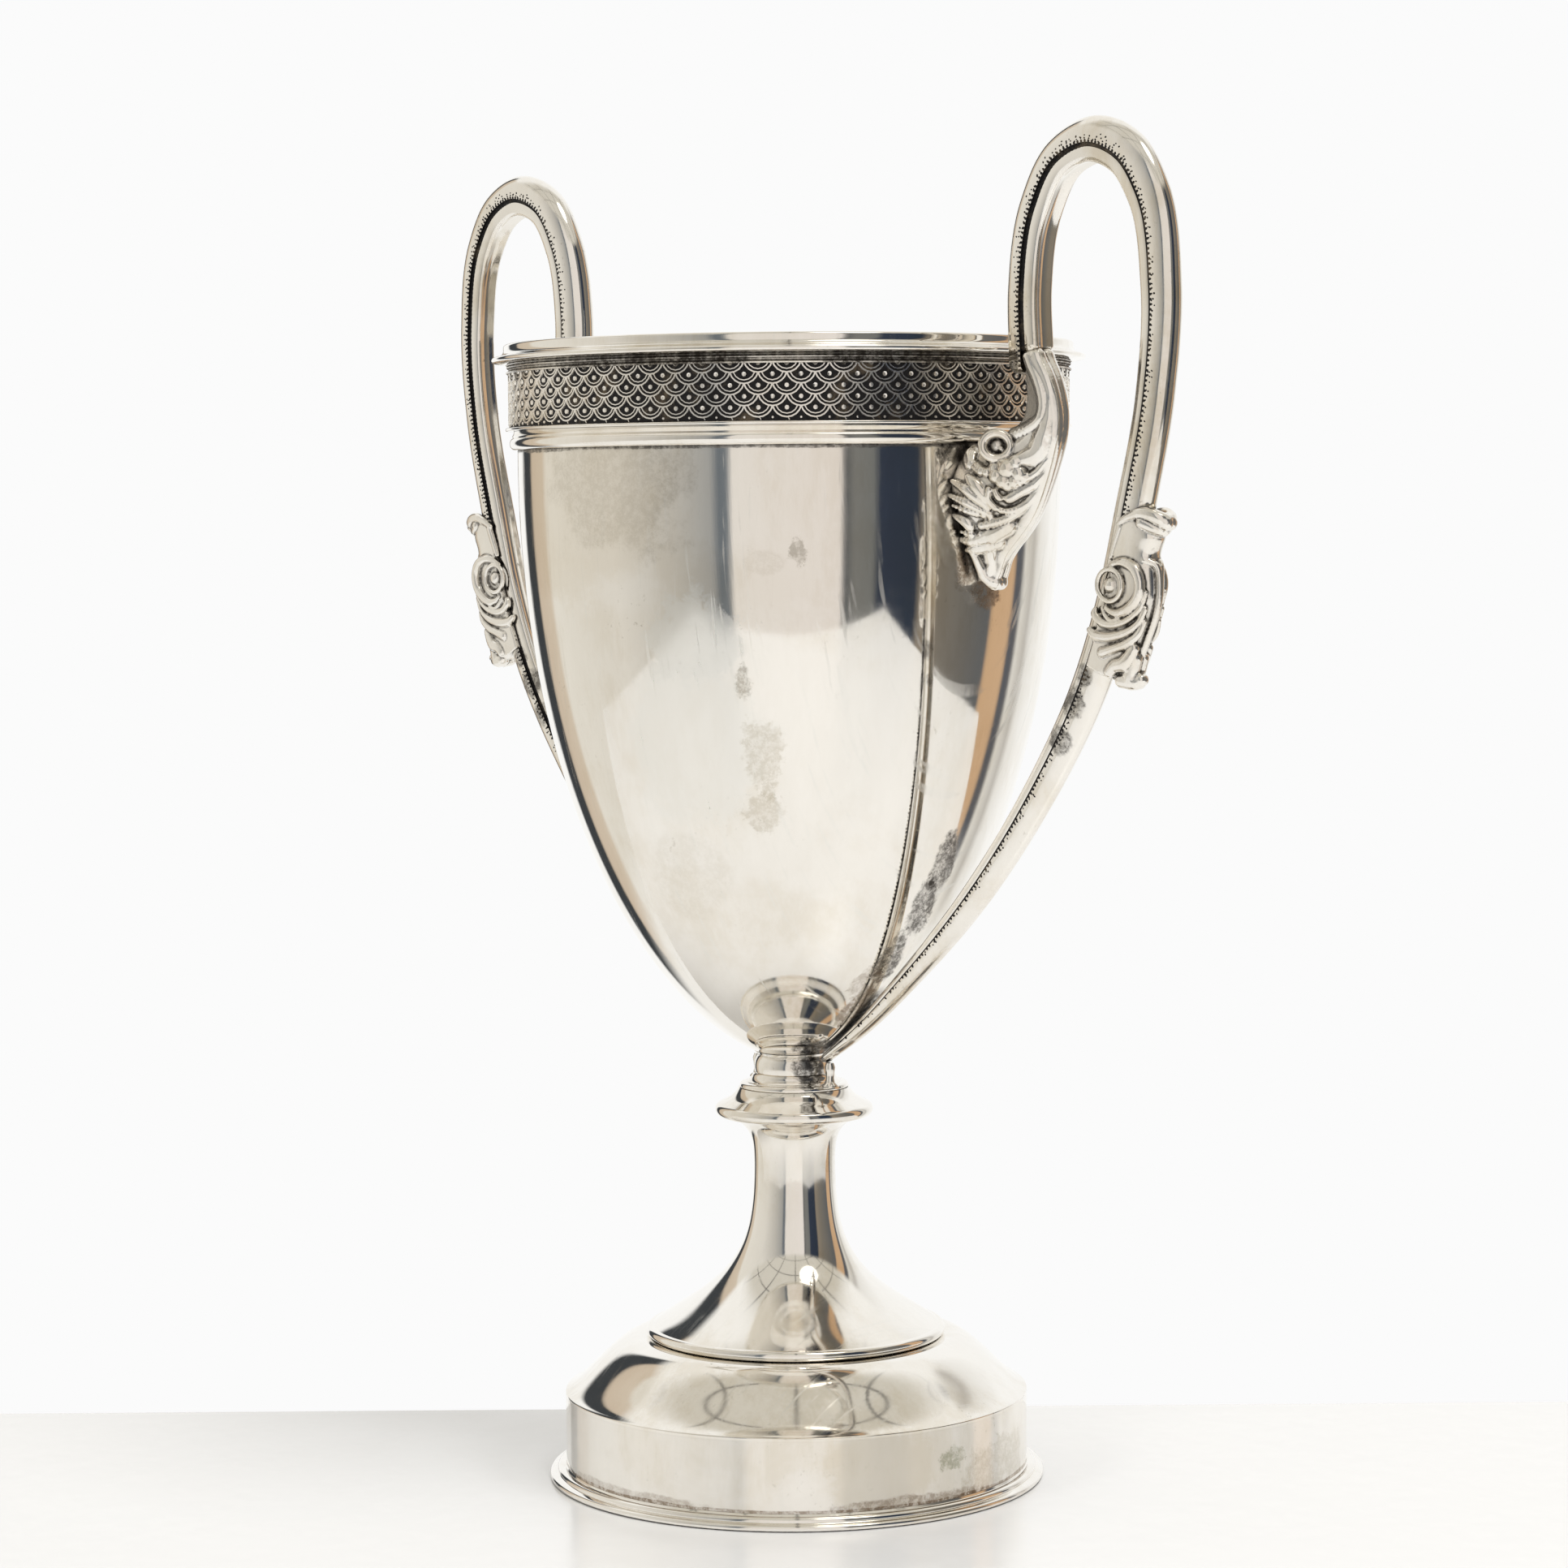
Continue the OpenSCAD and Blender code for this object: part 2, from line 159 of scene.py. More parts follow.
def smooth_row(rows, place):
    """Row between the given rows on a smooth curve, where place runs from 0 to the last row."""
    def gap(i):
        return sqrt((rows[i + 1][0] - rows[i][0]) ** 2 + (rows[i + 1][1] - rows[i][1]) ** 2)

    def secant(i):
        return [(b - a) / gap(i) for a, b in zip(rows[i], rows[i + 1])]

    def slope(i):
        if i == 0:
            return secant(0)
        if i == len(rows) - 1:
            return secant(i - 1)
        before, after = gap(i - 1), gap(i)
        return [(p * after + q * before) / (before + after)
                for p, q in zip(secant(i - 1), secant(i))]

    i = max(min(floor(place), len(rows) - 2), 0)
    t, g = place - i, gap(i)
    return [
        p * (2 * t ** 3 - 3 * t * t + 1) + m * g * (t ** 3 - 2 * t * t + t)
        + q * (3 * t * t - 2 * t ** 3) + n * g * (t ** 3 - t * t)
        for p, q, m, n in zip(rows[i], rows[i + 1], slope(i), slope(i + 1))
    ]


# ---------------------------------------------------------------- making pieces


def mesh_of(name, bm):
    """Turns a drawing into a mesh."""
    mesh = bpy.data.meshes.new(name)
    bm.to_mesh(mesh)
    bm.free()
    return mesh


def placed(name, data):
    """A new object in the scene."""
    item = bpy.data.objects.new(name, data)
    bpy.context.collection.objects.link(item)
    return item


def piece_from(name, bm, finish, *nodes):
    """Finishes a mesh drawn in millimetres: merged, facing outwards, smooth, and on its body."""
    bmesh.ops.remove_doubles(bm, verts=bm.verts, dist=1e-4)
    bmesh.ops.dissolve_degenerate(bm, dist=1e-5, edges=bm.edges)
    bmesh.ops.recalc_face_normals(bm, faces=bm.faces)
    bmesh.ops.scale(bm, vec=(MM, MM, MM), verts=bm.verts)
    for face in bm.faces:
        face.smooth = True
    mesh = mesh_of(name, bm)
    mesh.set_sharp_from_angle(angle=radians(SHARP_ANGLE))
    piece = placed(name, mesh)
    mesh.materials.append(finish)
    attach(piece, "root")
    if nodes:
        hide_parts(*nodes)
    return piece


def spun(outline, steps, closed=False, axis=(0, 0, 1)):
    """A drawing turned about an axis from its outline of (radius, height)."""
    bm = bmesh.new()
    points = [bm.verts.new(Vector((r, 0, 0)) + Vector(axis) * h) for r, h in outline]
    lines = [bm.edges.new(pair) for pair in zip(points, points[1:] + points[:closed])]
    bmesh.ops.spin(bm, geom=points + lines, cent=(0, 0, 0), axis=axis, angle=tau, steps=steps,
                   use_merge=True)
    return bm


def turned(name, outline, finish, *nodes):
    """A piece turned about the cup's axis from its closed outline of (radius, height)."""
    return piece_from(name, spun(outline, ROUND, True), finish, *nodes)


def sweep(bm, rings):
    """Skin over a row of rings, each a list of points, with the two ends filled."""
    loops = []
    for ring in rings:
        points = [bm.verts.new(p) for p in ring]
        loops.append([bm.edges.new(pair) for pair in zip(points, points[1:] + points[:1])])
    for before, after in zip(loops, loops[1:]):
        bmesh.ops.bridge_loops(bm, edges=before + after)
    bmesh.ops.edgeloop_fill(bm, edges=loops[0])
    bmesh.ops.edgeloop_fill(bm, edges=loops[-1])


class Stamp:
    """A small shape that is pressed into a drawing many times."""

    def __init__(self, bm):
        bmesh.ops.recalc_face_normals(bm, faces=bm.faces)
        self.mesh = mesh_of("stamp", bm)

    def press(self, bm, place):
        twin = self.mesh.copy()
        twin.transform(place)
        bm.from_mesh(twin)
        bpy.data.meshes.remove(twin)


def round_stamp(detail):
    """A stamp of a ball of radius 1."""
    bm = bmesh.new()
    bmesh.ops.create_icosphere(bm, subdivisions=detail, radius=1)
    return Stamp(bm)


def mirrored(name, piece, *nodes):
    """The left side's twin of a right side piece."""
    bm = bmesh.new()
    bm.from_mesh(piece.data)
    bmesh.ops.scale(bm, vec=(-1 / MM, 1 / MM, 1 / MM), verts=bm.verts)
    return piece_from(name, bm, piece.data.materials[0], *nodes)


def both_sides(name, bm, finish, is_node=True):
    """A right side piece and its twin, each in the place of its node if there is one."""
    right, left = "right_" + name, "left_" + name
    piece = piece_from(right, bm, finish, *[right] * is_node)
    mirrored(left, piece, *[left] * is_node)


# ---------------------------------------------------------------- finishes

class Nodes:
    """A node tree, with short calls for the nodes that it is made of."""

    def __init__(self, tree):
        self.tree = tree

    def add(self, kind, sockets=None, **settings):
        """A node with its settings, and with values or links for its sockets."""
        node = self.tree.nodes.new(kind)
        for key, value in settings.items():
            setattr(node, key, value)
        for key, value in (sockets or {}).items():
            self.join(value, node.inputs[key])
        return node

    def join(self, value, socket):
        if isinstance(value, bpy.types.NodeSocket):
            self.tree.links.new(value, socket)
        else:
            socket.default_value = value

    def ramp(self, value, start, end, first=0.0, last=1.0):
        sockets = {"Value": value, "From Min": start, "From Max": end, "To Min": first,
                   "To Max": last}
        node = self.add("ShaderNodeMapRange", sockets, interpolation_type="SMOOTHSTEP")
        return node.outputs["Result"]

    def math(self, what, a, b=0.0, c=0.0):
        return self.add("ShaderNodeMath", {0: a, 1: b, 2: c}, operation=what).outputs[0]

    def mix(self, share, a, b):
        node = self.add("ShaderNodeMix", {"Factor": share, "A": a, "B": b}, data_type="RGBA")
        return node.outputs["Result"]


class Finish(Nodes):
    """Node tree of one finish."""

    def __init__(self, name):
        self.material = bpy.data.materials.new(name)
        self.material.use_nodes = True
        super().__init__(self.material.node_tree)
        self.shader = self.tree.nodes["Principled BSDF"]
        self.place = self.add("ShaderNodeTexCoord").outputs["Object"]

    def stretched(self, scale, turn=(0, 0, 0)):
        sockets = {"Vector": self.place, "Scale": scale, "Rotation": turn}
        return self.add("ShaderNodeMapping", sockets).outputs["Vector"]

    def noise(self, scale, detail=2.0, rough=0.5, vector=None, bend=0.0):
        sockets = {"Vector": vector or self.place, "Scale": scale, "Detail": detail,
                   "Roughness": rough, "Distortion": bend}
        return self.add("ShaderNodeTexNoise", sockets).outputs["Fac"]

    def cover(self, share, tone, dullness):
        """Lays a film over the colour and the roughness made so far."""
        self.colour = self.mix(share, self.colour, tone)
        self.dull = self.math("ADD", self.dull, self.math("MULTIPLY", share, dullness))

    def near(self, centre, reach, ragged=0.0, grain=60):
        """1 at a place on the cup, falling to 0 at its reach in X, Y and Z, all in millimetres."""
        sockets = {"Vector": self.place, "Location": [c * MM for c in centre],
                   "Scale": [r * MM for r in reach]}
        spot = self.add("ShaderNodeMapping", sockets, vector_type="TEXTURE").outputs["Vector"]
        far = self.add("ShaderNodeVectorMath", {0: spot}, operation="LENGTH").outputs["Value"]
        if ragged:
            edge = self.noise(grain, 7, 0.75)
            far = self.math("ADD", far,
                            self.math("MULTIPLY_ADD", edge, ragged * 2.2, -ragged * 1.1))
        return self.ramp(far, 1.0, 0.7)

    def corner_shade_and_grime(self, reach, start=0.85, end=0.35):
        """Painted shade with grime: 1 deep in a corner or hollow, 0 where the surface is open."""
        node = self.add("ShaderNodeAmbientOcclusion", {"Distance": reach * MM}, samples=8)
        return self.ramp(node.outputs["AO"], start, end)

    def bump(self, height, strength, distance, below=None):
        sockets = {"Strength": strength, "Distance": distance * MM, "Height": height}
        if below:
            sockets["Normal"] = below
        return self.add("ShaderNodeBump", sockets).outputs["Normal"]

    def scratches(self, count=2, scale=900):
        """Height of fine polishing scratches that run in a few directions."""
        total = None
        for i in range(count):
            turn = (0.5 + 1.3 * i, 0.4 - 0.9 * i, 0.8 * i)
            line = self.noise(scale, 3, 0.7, self.stretched((1, 0.06, 0.06), turn))
            total = self.math("ADD", total, line) if total else line
        return total

    def shown(self, colour, dull, metallic=0.0, normal=None):
        """The material, with its shader joined up."""
        values = {"Base Color": colour, "Roughness": dull, "Metallic": metallic}
        if normal:
            values["Normal"] = normal
        for key, value in values.items():
            self.join(value, self.shader.inputs[key])
        return self.material


SILVER_TONE = (0.93, 0.905, 0.86, 1)
FILM_TONE = (0.76, 0.69, 0.57, 1)
SPECK_TONE = (0.22, 0.19, 0.13, 1)
# Near black, for painted shade in corners and for grime and dark spots
SHADE_AND_GRIME_TONE = (0.045, 0.038, 0.032, 1)
BROWN_TONE = (0.20, 0.125, 0.065, 1)
TAN_TONE = (0.46, 0.40, 0.29, 1)
HAZE_TONE = (0.86, 0.85, 0.81, 1)
OXIDE_TONE = (0.016, 0.015, 0.016, 1)


def silver(name, rough=0.07, film=0.5, shade_and_grime_reach=1.6, shade_and_grime=(0.85, 0.35), scratch=0.05,
           specks=0.3, lines=0.25, wave=0.0, hollow_shade_and_grime=0.0, stains_and_shade=()):
    """Worn polished silver: a warm film in patches, scratches, specks, and painted shade with grime
    in corners.
    A stain is (centre, reach, raggedness, grain, strength, tone, how dull it is)."""
    f = Finish(name)
    f.colour = SILVER_TONE
    f.dull = f.ramp(f.noise(320, 4, 0.6), 0.3, 0.7, rough * 0.75, rough * 1.35)
    cloud = f.ramp(f.noise(26, 6, 0.62, bend=0.4), 0.44, 0.62)
    wiped = f.ramp(f.noise(110, 5, 0.75, f.stretched((1, 1, 0.22), (0.2, 0.1, 0))), 0.35, 0.65)
    cloud = f.math("MULTIPLY", cloud, f.ramp(wiped, 0, 1, 0.45, 1.0))
    f.cover(f.math("MULTIPLY", cloud, film), FILM_TONE, 0.05)
    f.cover(f.math("MULTIPLY", wiped, 0.05), TAN_TONE, 0.03)
    for turn in ((0.4, 0.2, 0.3), (1.4, -0.6, 1.1), (-0.5, 0.9, 2.0)):
        line = f.ramp(f.noise(650, 2, 0.6, f.stretched((1, 0.05, 0.05), turn)), 0.64, 0.70)
        f.cover(f.math("MULTIPLY", f.math("MULTIPLY", line, f.ramp(wiped, 0, 1, 0.3, 1)), lines),
                HAZE_TONE, 0.3)
    fine = f.ramp(f.noise(700, 4, 0.75), 0.60, 0.70)
    patch = f.ramp(f.noise(34, 3, 0.6), 0.52, 0.66)
    f.cover(f.math("MULTIPLY", f.math("MULTIPLY", fine, patch), specks), SPECK_TONE, 0.3)
    crumb = f.ramp(f.noise(520, 8, 0.85), 0.40, 0.58, 0.30, 1.0)
    for centre, reach, ragged, grain, strength, tone, dull in stains_and_shade:
        spot = f.near(centre, reach, ragged, grain)
        if tone not in (HAZE_TONE, FILM_TONE):
            spot = f.math("MULTIPLY", spot, crumb)
        f.cover(f.math("MULTIPLY", spot, strength), tone, dull)
    # Painted shade with grime: near black deep in corners, and in hollows of the surface where that
    # is asked for
    shade_and_dirt = f.corner_shade_and_grime(shade_and_grime_reach, *shade_and_grime)
    if hollow_shade_and_grime:
        bend = f.add("ShaderNodeNewGeometry").outputs["Pointiness"]
        shade_and_dirt = f.math("MAXIMUM", shade_and_dirt, f.ramp(bend, 0.497, 0.497 - hollow_shade_and_grime))
    loose = f.ramp(f.noise(800, 5, 0.7), 0.28, 0.60, 0.45, 1.0)
    f.cover(f.math("MULTIPLY", shade_and_dirt, loose), SHADE_AND_GRIME_TONE, 0.4)
    normal = f.bump(f.scratches(), scratch, 0.02)
    if wave:
        normal = f.bump(f.noise(17, 1.5, 0.4), wave, 1.0, normal)
    return f.shown(f.colour, f.dull, 1.0, normal)


def oxide(name):
    """Black tarnish left in the ground of the struck band, browner in places."""
    f = Finish(name)
    tan_share = f.ramp(f.noise(140, 5, 0.7), 0.52, 0.70, 0.0, 0.8)
    colour = f.mix(tan_share, OXIDE_TONE, (0.16, 0.125, 0.085, 1))
    dull = f.ramp(f.noise(1500, 3, 0.6), 0.2, 0.8, 0.4, 0.75)
    return f.shown(colour, dull, 0.6, f.bump(f.noise(2600, 4, 0.7), 0.5, 0.06))


def brass(name):
    """Plain yellow metal of the hidden fixing."""
    f = Finish(name)
    colour = f.mix(f.ramp(f.noise(220, 4, 0.6), 0.35, 0.65), (0.62, 0.45, 0.19, 1),
                   (0.42, 0.29, 0.12, 1))
    dull = f.ramp(f.noise(500, 3, 0.6), 0.2, 0.8, 0.22, 0.42)
    return f.shown(colour, dull, 1.0, f.bump(f.scratches(), 0.2, 0.02))


def satin(name):
    """Soft satin of the bowl's inside, which is never polished."""
    f = Finish(name)
    film = f.ramp(f.noise(40, 6, 0.65), 0.40, 0.65)
    colour = f.mix(film, (0.86, 0.84, 0.79, 1), (0.79, 0.75, 0.67, 1))
    dull = f.ramp(f.noise(300, 4, 0.6), 0.3, 0.7, 0.28, 0.42)
    return f.shown(colour, dull, 0.45, f.bump(f.scratches(), 0.2, 0.02))


# Stains on the bowl, and painted shade where each handle's lower limb shows darkly in it
BOWL_STAINS_AND_SHADE = [
    ((10, -60, 228), (24, 16, 17), 0.9, 40, 0.30, SPECK_TONE, 0.10),
    ((-4, -60, 226), (30, 20, 26), 0.6, 25, 0.35, FILM_TONE, 0.05),
    ((27, -53, 195), (13, 12, 11), 1.3, 90, 0.80, HAZE_TONE, 0.10),
    ((22, -50, 172), (20, 16, 22), 0.8, 45, 0.55, HAZE_TONE, 0.08),
    ((34, -46, 186), (2.2, 2.5, 5), 1.4, 120, 0.50, SPECK_TONE, 0.2),
    ((35, -41, 170), (4.2, 5, 11), 1.5, 110, 0.42, TAN_TONE, 0.2),
    ((32, -39, 156), (5.5, 5, 5.5), 1.4, 110, 0.40, TAN_TONE, 0.2),
    ((13, -43, 142), (12, 11, 13), 0.5, 40, 0.16, TAN_TONE, 0.10),
    ((45.7, -40, 214), (2.0, 2.0, 3.6), 1.6, 150, 0.50, SPECK_TONE, 0.2),
    ((41, -45, 211), (5, 5, 3.2), 0.8, 80, 0.16, TAN_TONE, 0.1),
    # Painted shade: dark spots down the right handle's lower limb, where the handle shows darkly in
    # the bowl
    ((46, 3.6, 144), (4.5, 4.2, 10), 0.9, 110, 0.85, SHADE_AND_GRIME_TONE, 0.25),
    ((41, 1.2, 133), (5, 4.2, 10), 0.9, 110, 0.85, SHADE_AND_GRIME_TONE, 0.25),
    ((34, -2.0, 122), (6, 4.2, 10), 0.9, 110, 0.85, SHADE_AND_GRIME_TONE, 0.25),
    ((24, -3.5, 111), (7, 4.0, 8), 0.9, 110, 0.70, BROWN_TONE, 0.25),
    ((12, -4, 101), (5, 4, 3.5), 0.8, 110, 0.85, SHADE_AND_GRIME_TONE, 0.3),
    ((0, 0, 236.2), (210, 210, 0.9), 1.0, 60, 0.75, SHADE_AND_GRIME_TONE, 0.3),
    # Painted shade of the right handle's lower limb, as above
    ((30, -5, 117), (5, 5, 5), 1.3, 90, 0.45, BROWN_TONE, 0.2),
    ((60.7, -4.4, 211), (4, 4.5, 8), 0.8, 90, 0.75, BROWN_TONE, 0.3),
    ((60.2, 1.5, 204), (4, 5.5, 4), 0.9, 90, 0.75, BROWN_TONE, 0.3),
    ((61, -8, 234.6), (3, 6, 3.2), 1.0, 120, 0.95, SHADE_AND_GRIME_TONE, 0.4),
    ((60.5, -9, 222), (5, 8, 14), 0.7, 60, 0.40, TAN_TONE, 0.12),
    ((60.7, 4.4, 211), (4, 4.5, 8), 0.8, 90, 0.75, BROWN_TONE, 0.3),
    ((-60.7, 0, 208), (4, 7, 8), 0.9, 90, 0.75, BROWN_TONE, 0.3),
    # Painted shade: dark spot behind the left handle's lower limb, where the handle shows darkly in
    # the bowl
    ((-40, 4, 132), (6, 6, 12), 1.1, 90, 0.60, SHADE_AND_GRIME_TONE, 0.25),
]
RECESS_STAINS = [
    ((0, 0, 254), (80, 80, 4), 0.0, 60, 0.45, TAN_TONE, 0.1),
    ((20, -60, 254), (26, 20, 3), 0.9, 60, 0.95, SHADE_AND_GRIME_TONE, 0.3),
    ((60, -25, 254), (16, 22, 3), 0.9, 60, 0.95, SHADE_AND_GRIME_TONE, 0.3),
    ((-40, 45, 254), (26, 22, 3), 0.9, 60, 0.85, SHADE_AND_GRIME_TONE, 0.3),
    ((50, 45, 254), (18, 22, 3), 0.9, 60, 0.70, BROWN_TONE, 0.3),
]
FOOT_STAINS = [
    ((53.2, -2.2, 11.7), (3, 4, 3), 1.4, 120, 0.50, (0.16, 0.19, 0.07, 1), 0.3),
    ((51, 10, 8), (8, 16, 8), 1.4, 60, 0.40, TAN_TONE, 0.2),
    ((48, -20, 12), (14, 16, 12), 1.0, 40, 0.55, FILM_TONE, 0.1),
    ((50, -16, 4), (10, 30, 2.2), 0.8, 60, 0.60, BROWN_TONE, 0.2),
    ((0, -53, 4), (40, 8, 1.6), 0.9, 60, 0.40, BROWN_TONE, 0.2),
    ((-20, 48, 12), (18, 8, 8), 1.0, 60, 0.30, TAN_TONE, 0.1),
    ((6, 7, 76), (9, 9, 9), 0.8, 60, 0.25, TAN_TONE, 0.1),
    ((0, 0, 3.3), (190, 190, 0.8), 0.8, 60, 0.70, BROWN_TONE, 0.3),
    ((9, -3, 95), (4.5, 4.5, 4), 0.8, 110, 0.90, SHADE_AND_GRIME_TONE, 0.3),
    ((-9, 3, 95), (4.5, 4.5, 4), 0.8, 110, 0.80, SHADE_AND_GRIME_TONE, 0.3),
]

HANDLE_STAINS = [
    ((side * x, 0, z), (reach, 8, reach), 0.9, 110, 0.8, SHADE_AND_GRIME_TONE, 0.3)
    for side in (-1, 1)
    for x, z, reach in ((94, 187, 3), (90, 181, 4), (86, 173, 3.5))
]

bowl_silver = silver("bowl_silver", rough=0.05, film=0.35, shade_and_grime=(0.86, 0.45), shade_and_grime_reach=2.2,
                     scratch=0.13, lines=0.5, wave=0.04, stains_and_shade=BOWL_STAINS_AND_SHADE)
moulding_silver = silver("moulding_silver", rough=0.06, film=0.4, shade_and_grime_reach=0.9,
                         shade_and_grime=(0.5, 0.15), scratch=0.1)
recess_silver = silver("recess_silver", rough=0.2, film=0.8, shade_and_grime_reach=1.6, shade_and_grime=(0.95, 0.55),
                       scratch=0.2, stains_and_shade=RECESS_STAINS)
foot_silver = silver("foot_silver", rough=0.06, film=0.5, shade_and_grime_reach=0.8, shade_and_grime=(0.25, 0.0),
                     scratch=0.12, wave=0.05, stains_and_shade=FOOT_STAINS)
handle_silver = silver("handle_silver", rough=0.09, film=0.9, shade_and_grime_reach=1.2, shade_and_grime=(0.8, 0.4),
                       scratch=0.2, specks=0.6, wave=0.06, stains_and_shade=HANDLE_STAINS)
cast_silver = silver("cast_silver", rough=0.15, film=0.6, shade_and_grime_reach=2.6, shade_and_grime=(0.78, 0.45),
                     scratch=0.25, specks=0.5, hollow_shade_and_grime=0.03)
struck_silver = silver("struck_silver", rough=0.26, film=0.5, shade_and_grime_reach=0.5, shade_and_grime=(0.4, 0.1),
                       scratch=0.1)
plain_silver = silver("plain_silver", rough=0.3, film=0.7, scratch=0.15)
satin_silver = satin("satin_silver")
band_oxide = oxide("band_oxide")
fixing_brass = brass("fixing_brass")


# ---------------------------------------------------------------- bowl and rim

def bowl():
    bottom = BOWL_BOTTOM + BOWL_WALL
    inner_r = BOWL_R - BOWL_WALL
    outside = bowl_line(BOWL_R, BOWL_BOTTOM, 90)
    inside = bowl_line(inner_r, bottom, 70)
    straight = [(BOWL_R, z) for z in STRAIGHT_HEIGHTS]
    straight_inside = [(inner_r, z) for z in STRAIGHT_HEIGHTS[::-1]]
    brim = arc(BOWL_R - 0.5, BRIM_Z - 0.5, 0.5, 0, 180, 8)
    piece = turned("bowl", outside + straight + brim + straight_inside + inside[::-1],
                   bowl_silver, "bowl")
    piece.data.materials.append(satin_silver)
    for face in piece.data.polygons:
        if face.normal.xy.dot(face.center.xy) < 0 and face.center.z < (BRIM_Z - 1) * MM:
            face.material_index = 1
    return piece


def rim_moulding():
    """Upright lip with a thin bead below it, and a recess down to the band."""
    lip_r = BEAD_R - 2.7
    nose_z = 256.5
    recess_r = BAND_R + 0.15
    recess = [(BOWL_R, BAND_HIGH), (recess_r, BAND_HIGH)]
    recess += arc(recess_r, BAND_HIGH + 0.22, 0.22, -60, 90, 5)
    recess += [(recess_r - 0.35, BAND_HIGH + 0.75), (recess_r - 0.35, BAND_HIGH + 1.2)]
    recess += arc(recess_r - 0.15, BAND_HIGH + 1.45, 0.25, -60, 90, 5)
    recess += [(recess_r + 0.3, LIP_LOW), (BOWL_R, LIP_LOW)]
    turned("rim_recess", recess, recess_silver)
    outline = [(BOWL_R, LIP_LOW), (recess_r + 0.3, LIP_LOW), (BEAD_R - 1.6, 255.75)]
    outline += arc(BEAD_R - 0.55, nose_z, 0.55, -80, 80, 10)
    outline += [(BEAD_R - 1.5, 257.3), (lip_r + 0.55, 257.6), (lip_r + 0.15, 258.0),
                (lip_r, 258.6)]
    outline += arc(lip_r - 0.7, BRIM_Z - 0.7, 0.7, 0, 90, 8)
    outline += [(BOWL_R, BRIM_Z)]
    return turned("rim_moulding", outline, moulding_silver, "rim_moulding")


def wire_and_shoulder():
    wire = [(BOWL_R, WIRE_LOW)]
    half = (BAND_LOW - WIRE_LOW) / 2
    wire += arc(WIRE_R - half, WIRE_LOW + half, half, -90, 90, 8)
    wire += [(BOWL_R, BAND_LOW)]
    turned("band_wire", wire, moulding_silver, "band_wire")
    roll = 1.5
    hollow = 1.7
    start = BOWL_SHOULDER + 0.2
    moulding = [(BOWL_R, start)]
    moulding += arc(BOWL_R + 0.3, start + roll, roll, -90, 62, 16)
    moulding += arc(BOWL_R + 2.5, WIRE_LOW, hollow, 222, 182, 10)
    moulding += [(BOWL_R, WIRE_LOW)]
    turned("shoulder_moulding", moulding, moulding_silver, "shoulder_moulding")


# ---------------------------------------------------------------- band of struck scales

SCALES_ROUND = 66
SCALE_ROWS = 6
ROW_PITCH = 2.36
FIRST_ROW = 0.8


def ridge(bm, points, wide, tall):
    """A raised line with a narrow flat crest along flat points (x, z) on the ground."""
    crest = [Vector((x, 0, z)) for x, z in points]
    up = Vector((0, tall, 0))
    rings = []
    for i, p in enumerate(crest):
        ahead = crest[min(i + 1, len(crest) - 1)] - crest[max(i - 1, 0)]
        side = Vector((-ahead.z, 0, ahead.x)).normalized() * wide / 2
        rings.append([p - side, p - side * 0.62 + up, p + side * 0.62 + up, p + side])
    sweep(bm, rings)


def button(bm, outline, steps, height):
    """A little turned boss that stands on the ground at a height."""
    boss = spun(outline, steps, axis=(0, 1, 0))
    Stamp(boss).press(bm, Matrix.Translation((0, 0, height)))


def scale_shape(wide, hollow_boss):
    """One scale: two lines round it, a finer one inside, and its boss. Its lowest point is at 0."""
    half = wide / 2
    outer = (half * half + ROW_PITCH * ROW_PITCH) / (2 * ROW_PITCH)

    def scoop(r, steps):
        reach = acos((outer - ROW_PITCH) / r)
        turns = [reach * (2 * i / steps - 1) for i in range(steps + 1)]
        return [(r * sin(t), outer - r * cos(t)) for t in turns]

    bm = bmesh.new()
    ridge(bm, scoop(outer, 8), 0.50, 0.38)
    ridge(bm, scoop(outer - 0.74, 6), 0.36, 0.27)
    top = [(0.50, 0.36), (0.0, 0.10)] if hollow_boss else [(0.50, 0.32), (0.0, 0.42)]
    button(bm, [(0.62, 0.0)] + top, 7, 2.0)
    return Stamp(bm)


def wrapped(bm, radius):
    """Bends a flat strip round the cup: X becomes the way round and Y the height above it."""
    for vert in bm.verts:
        x, y, z = vert.co
        turn = x / radius
        vert.co = ((radius + y) * cos(turn), (radius + y) * sin(turn), z)


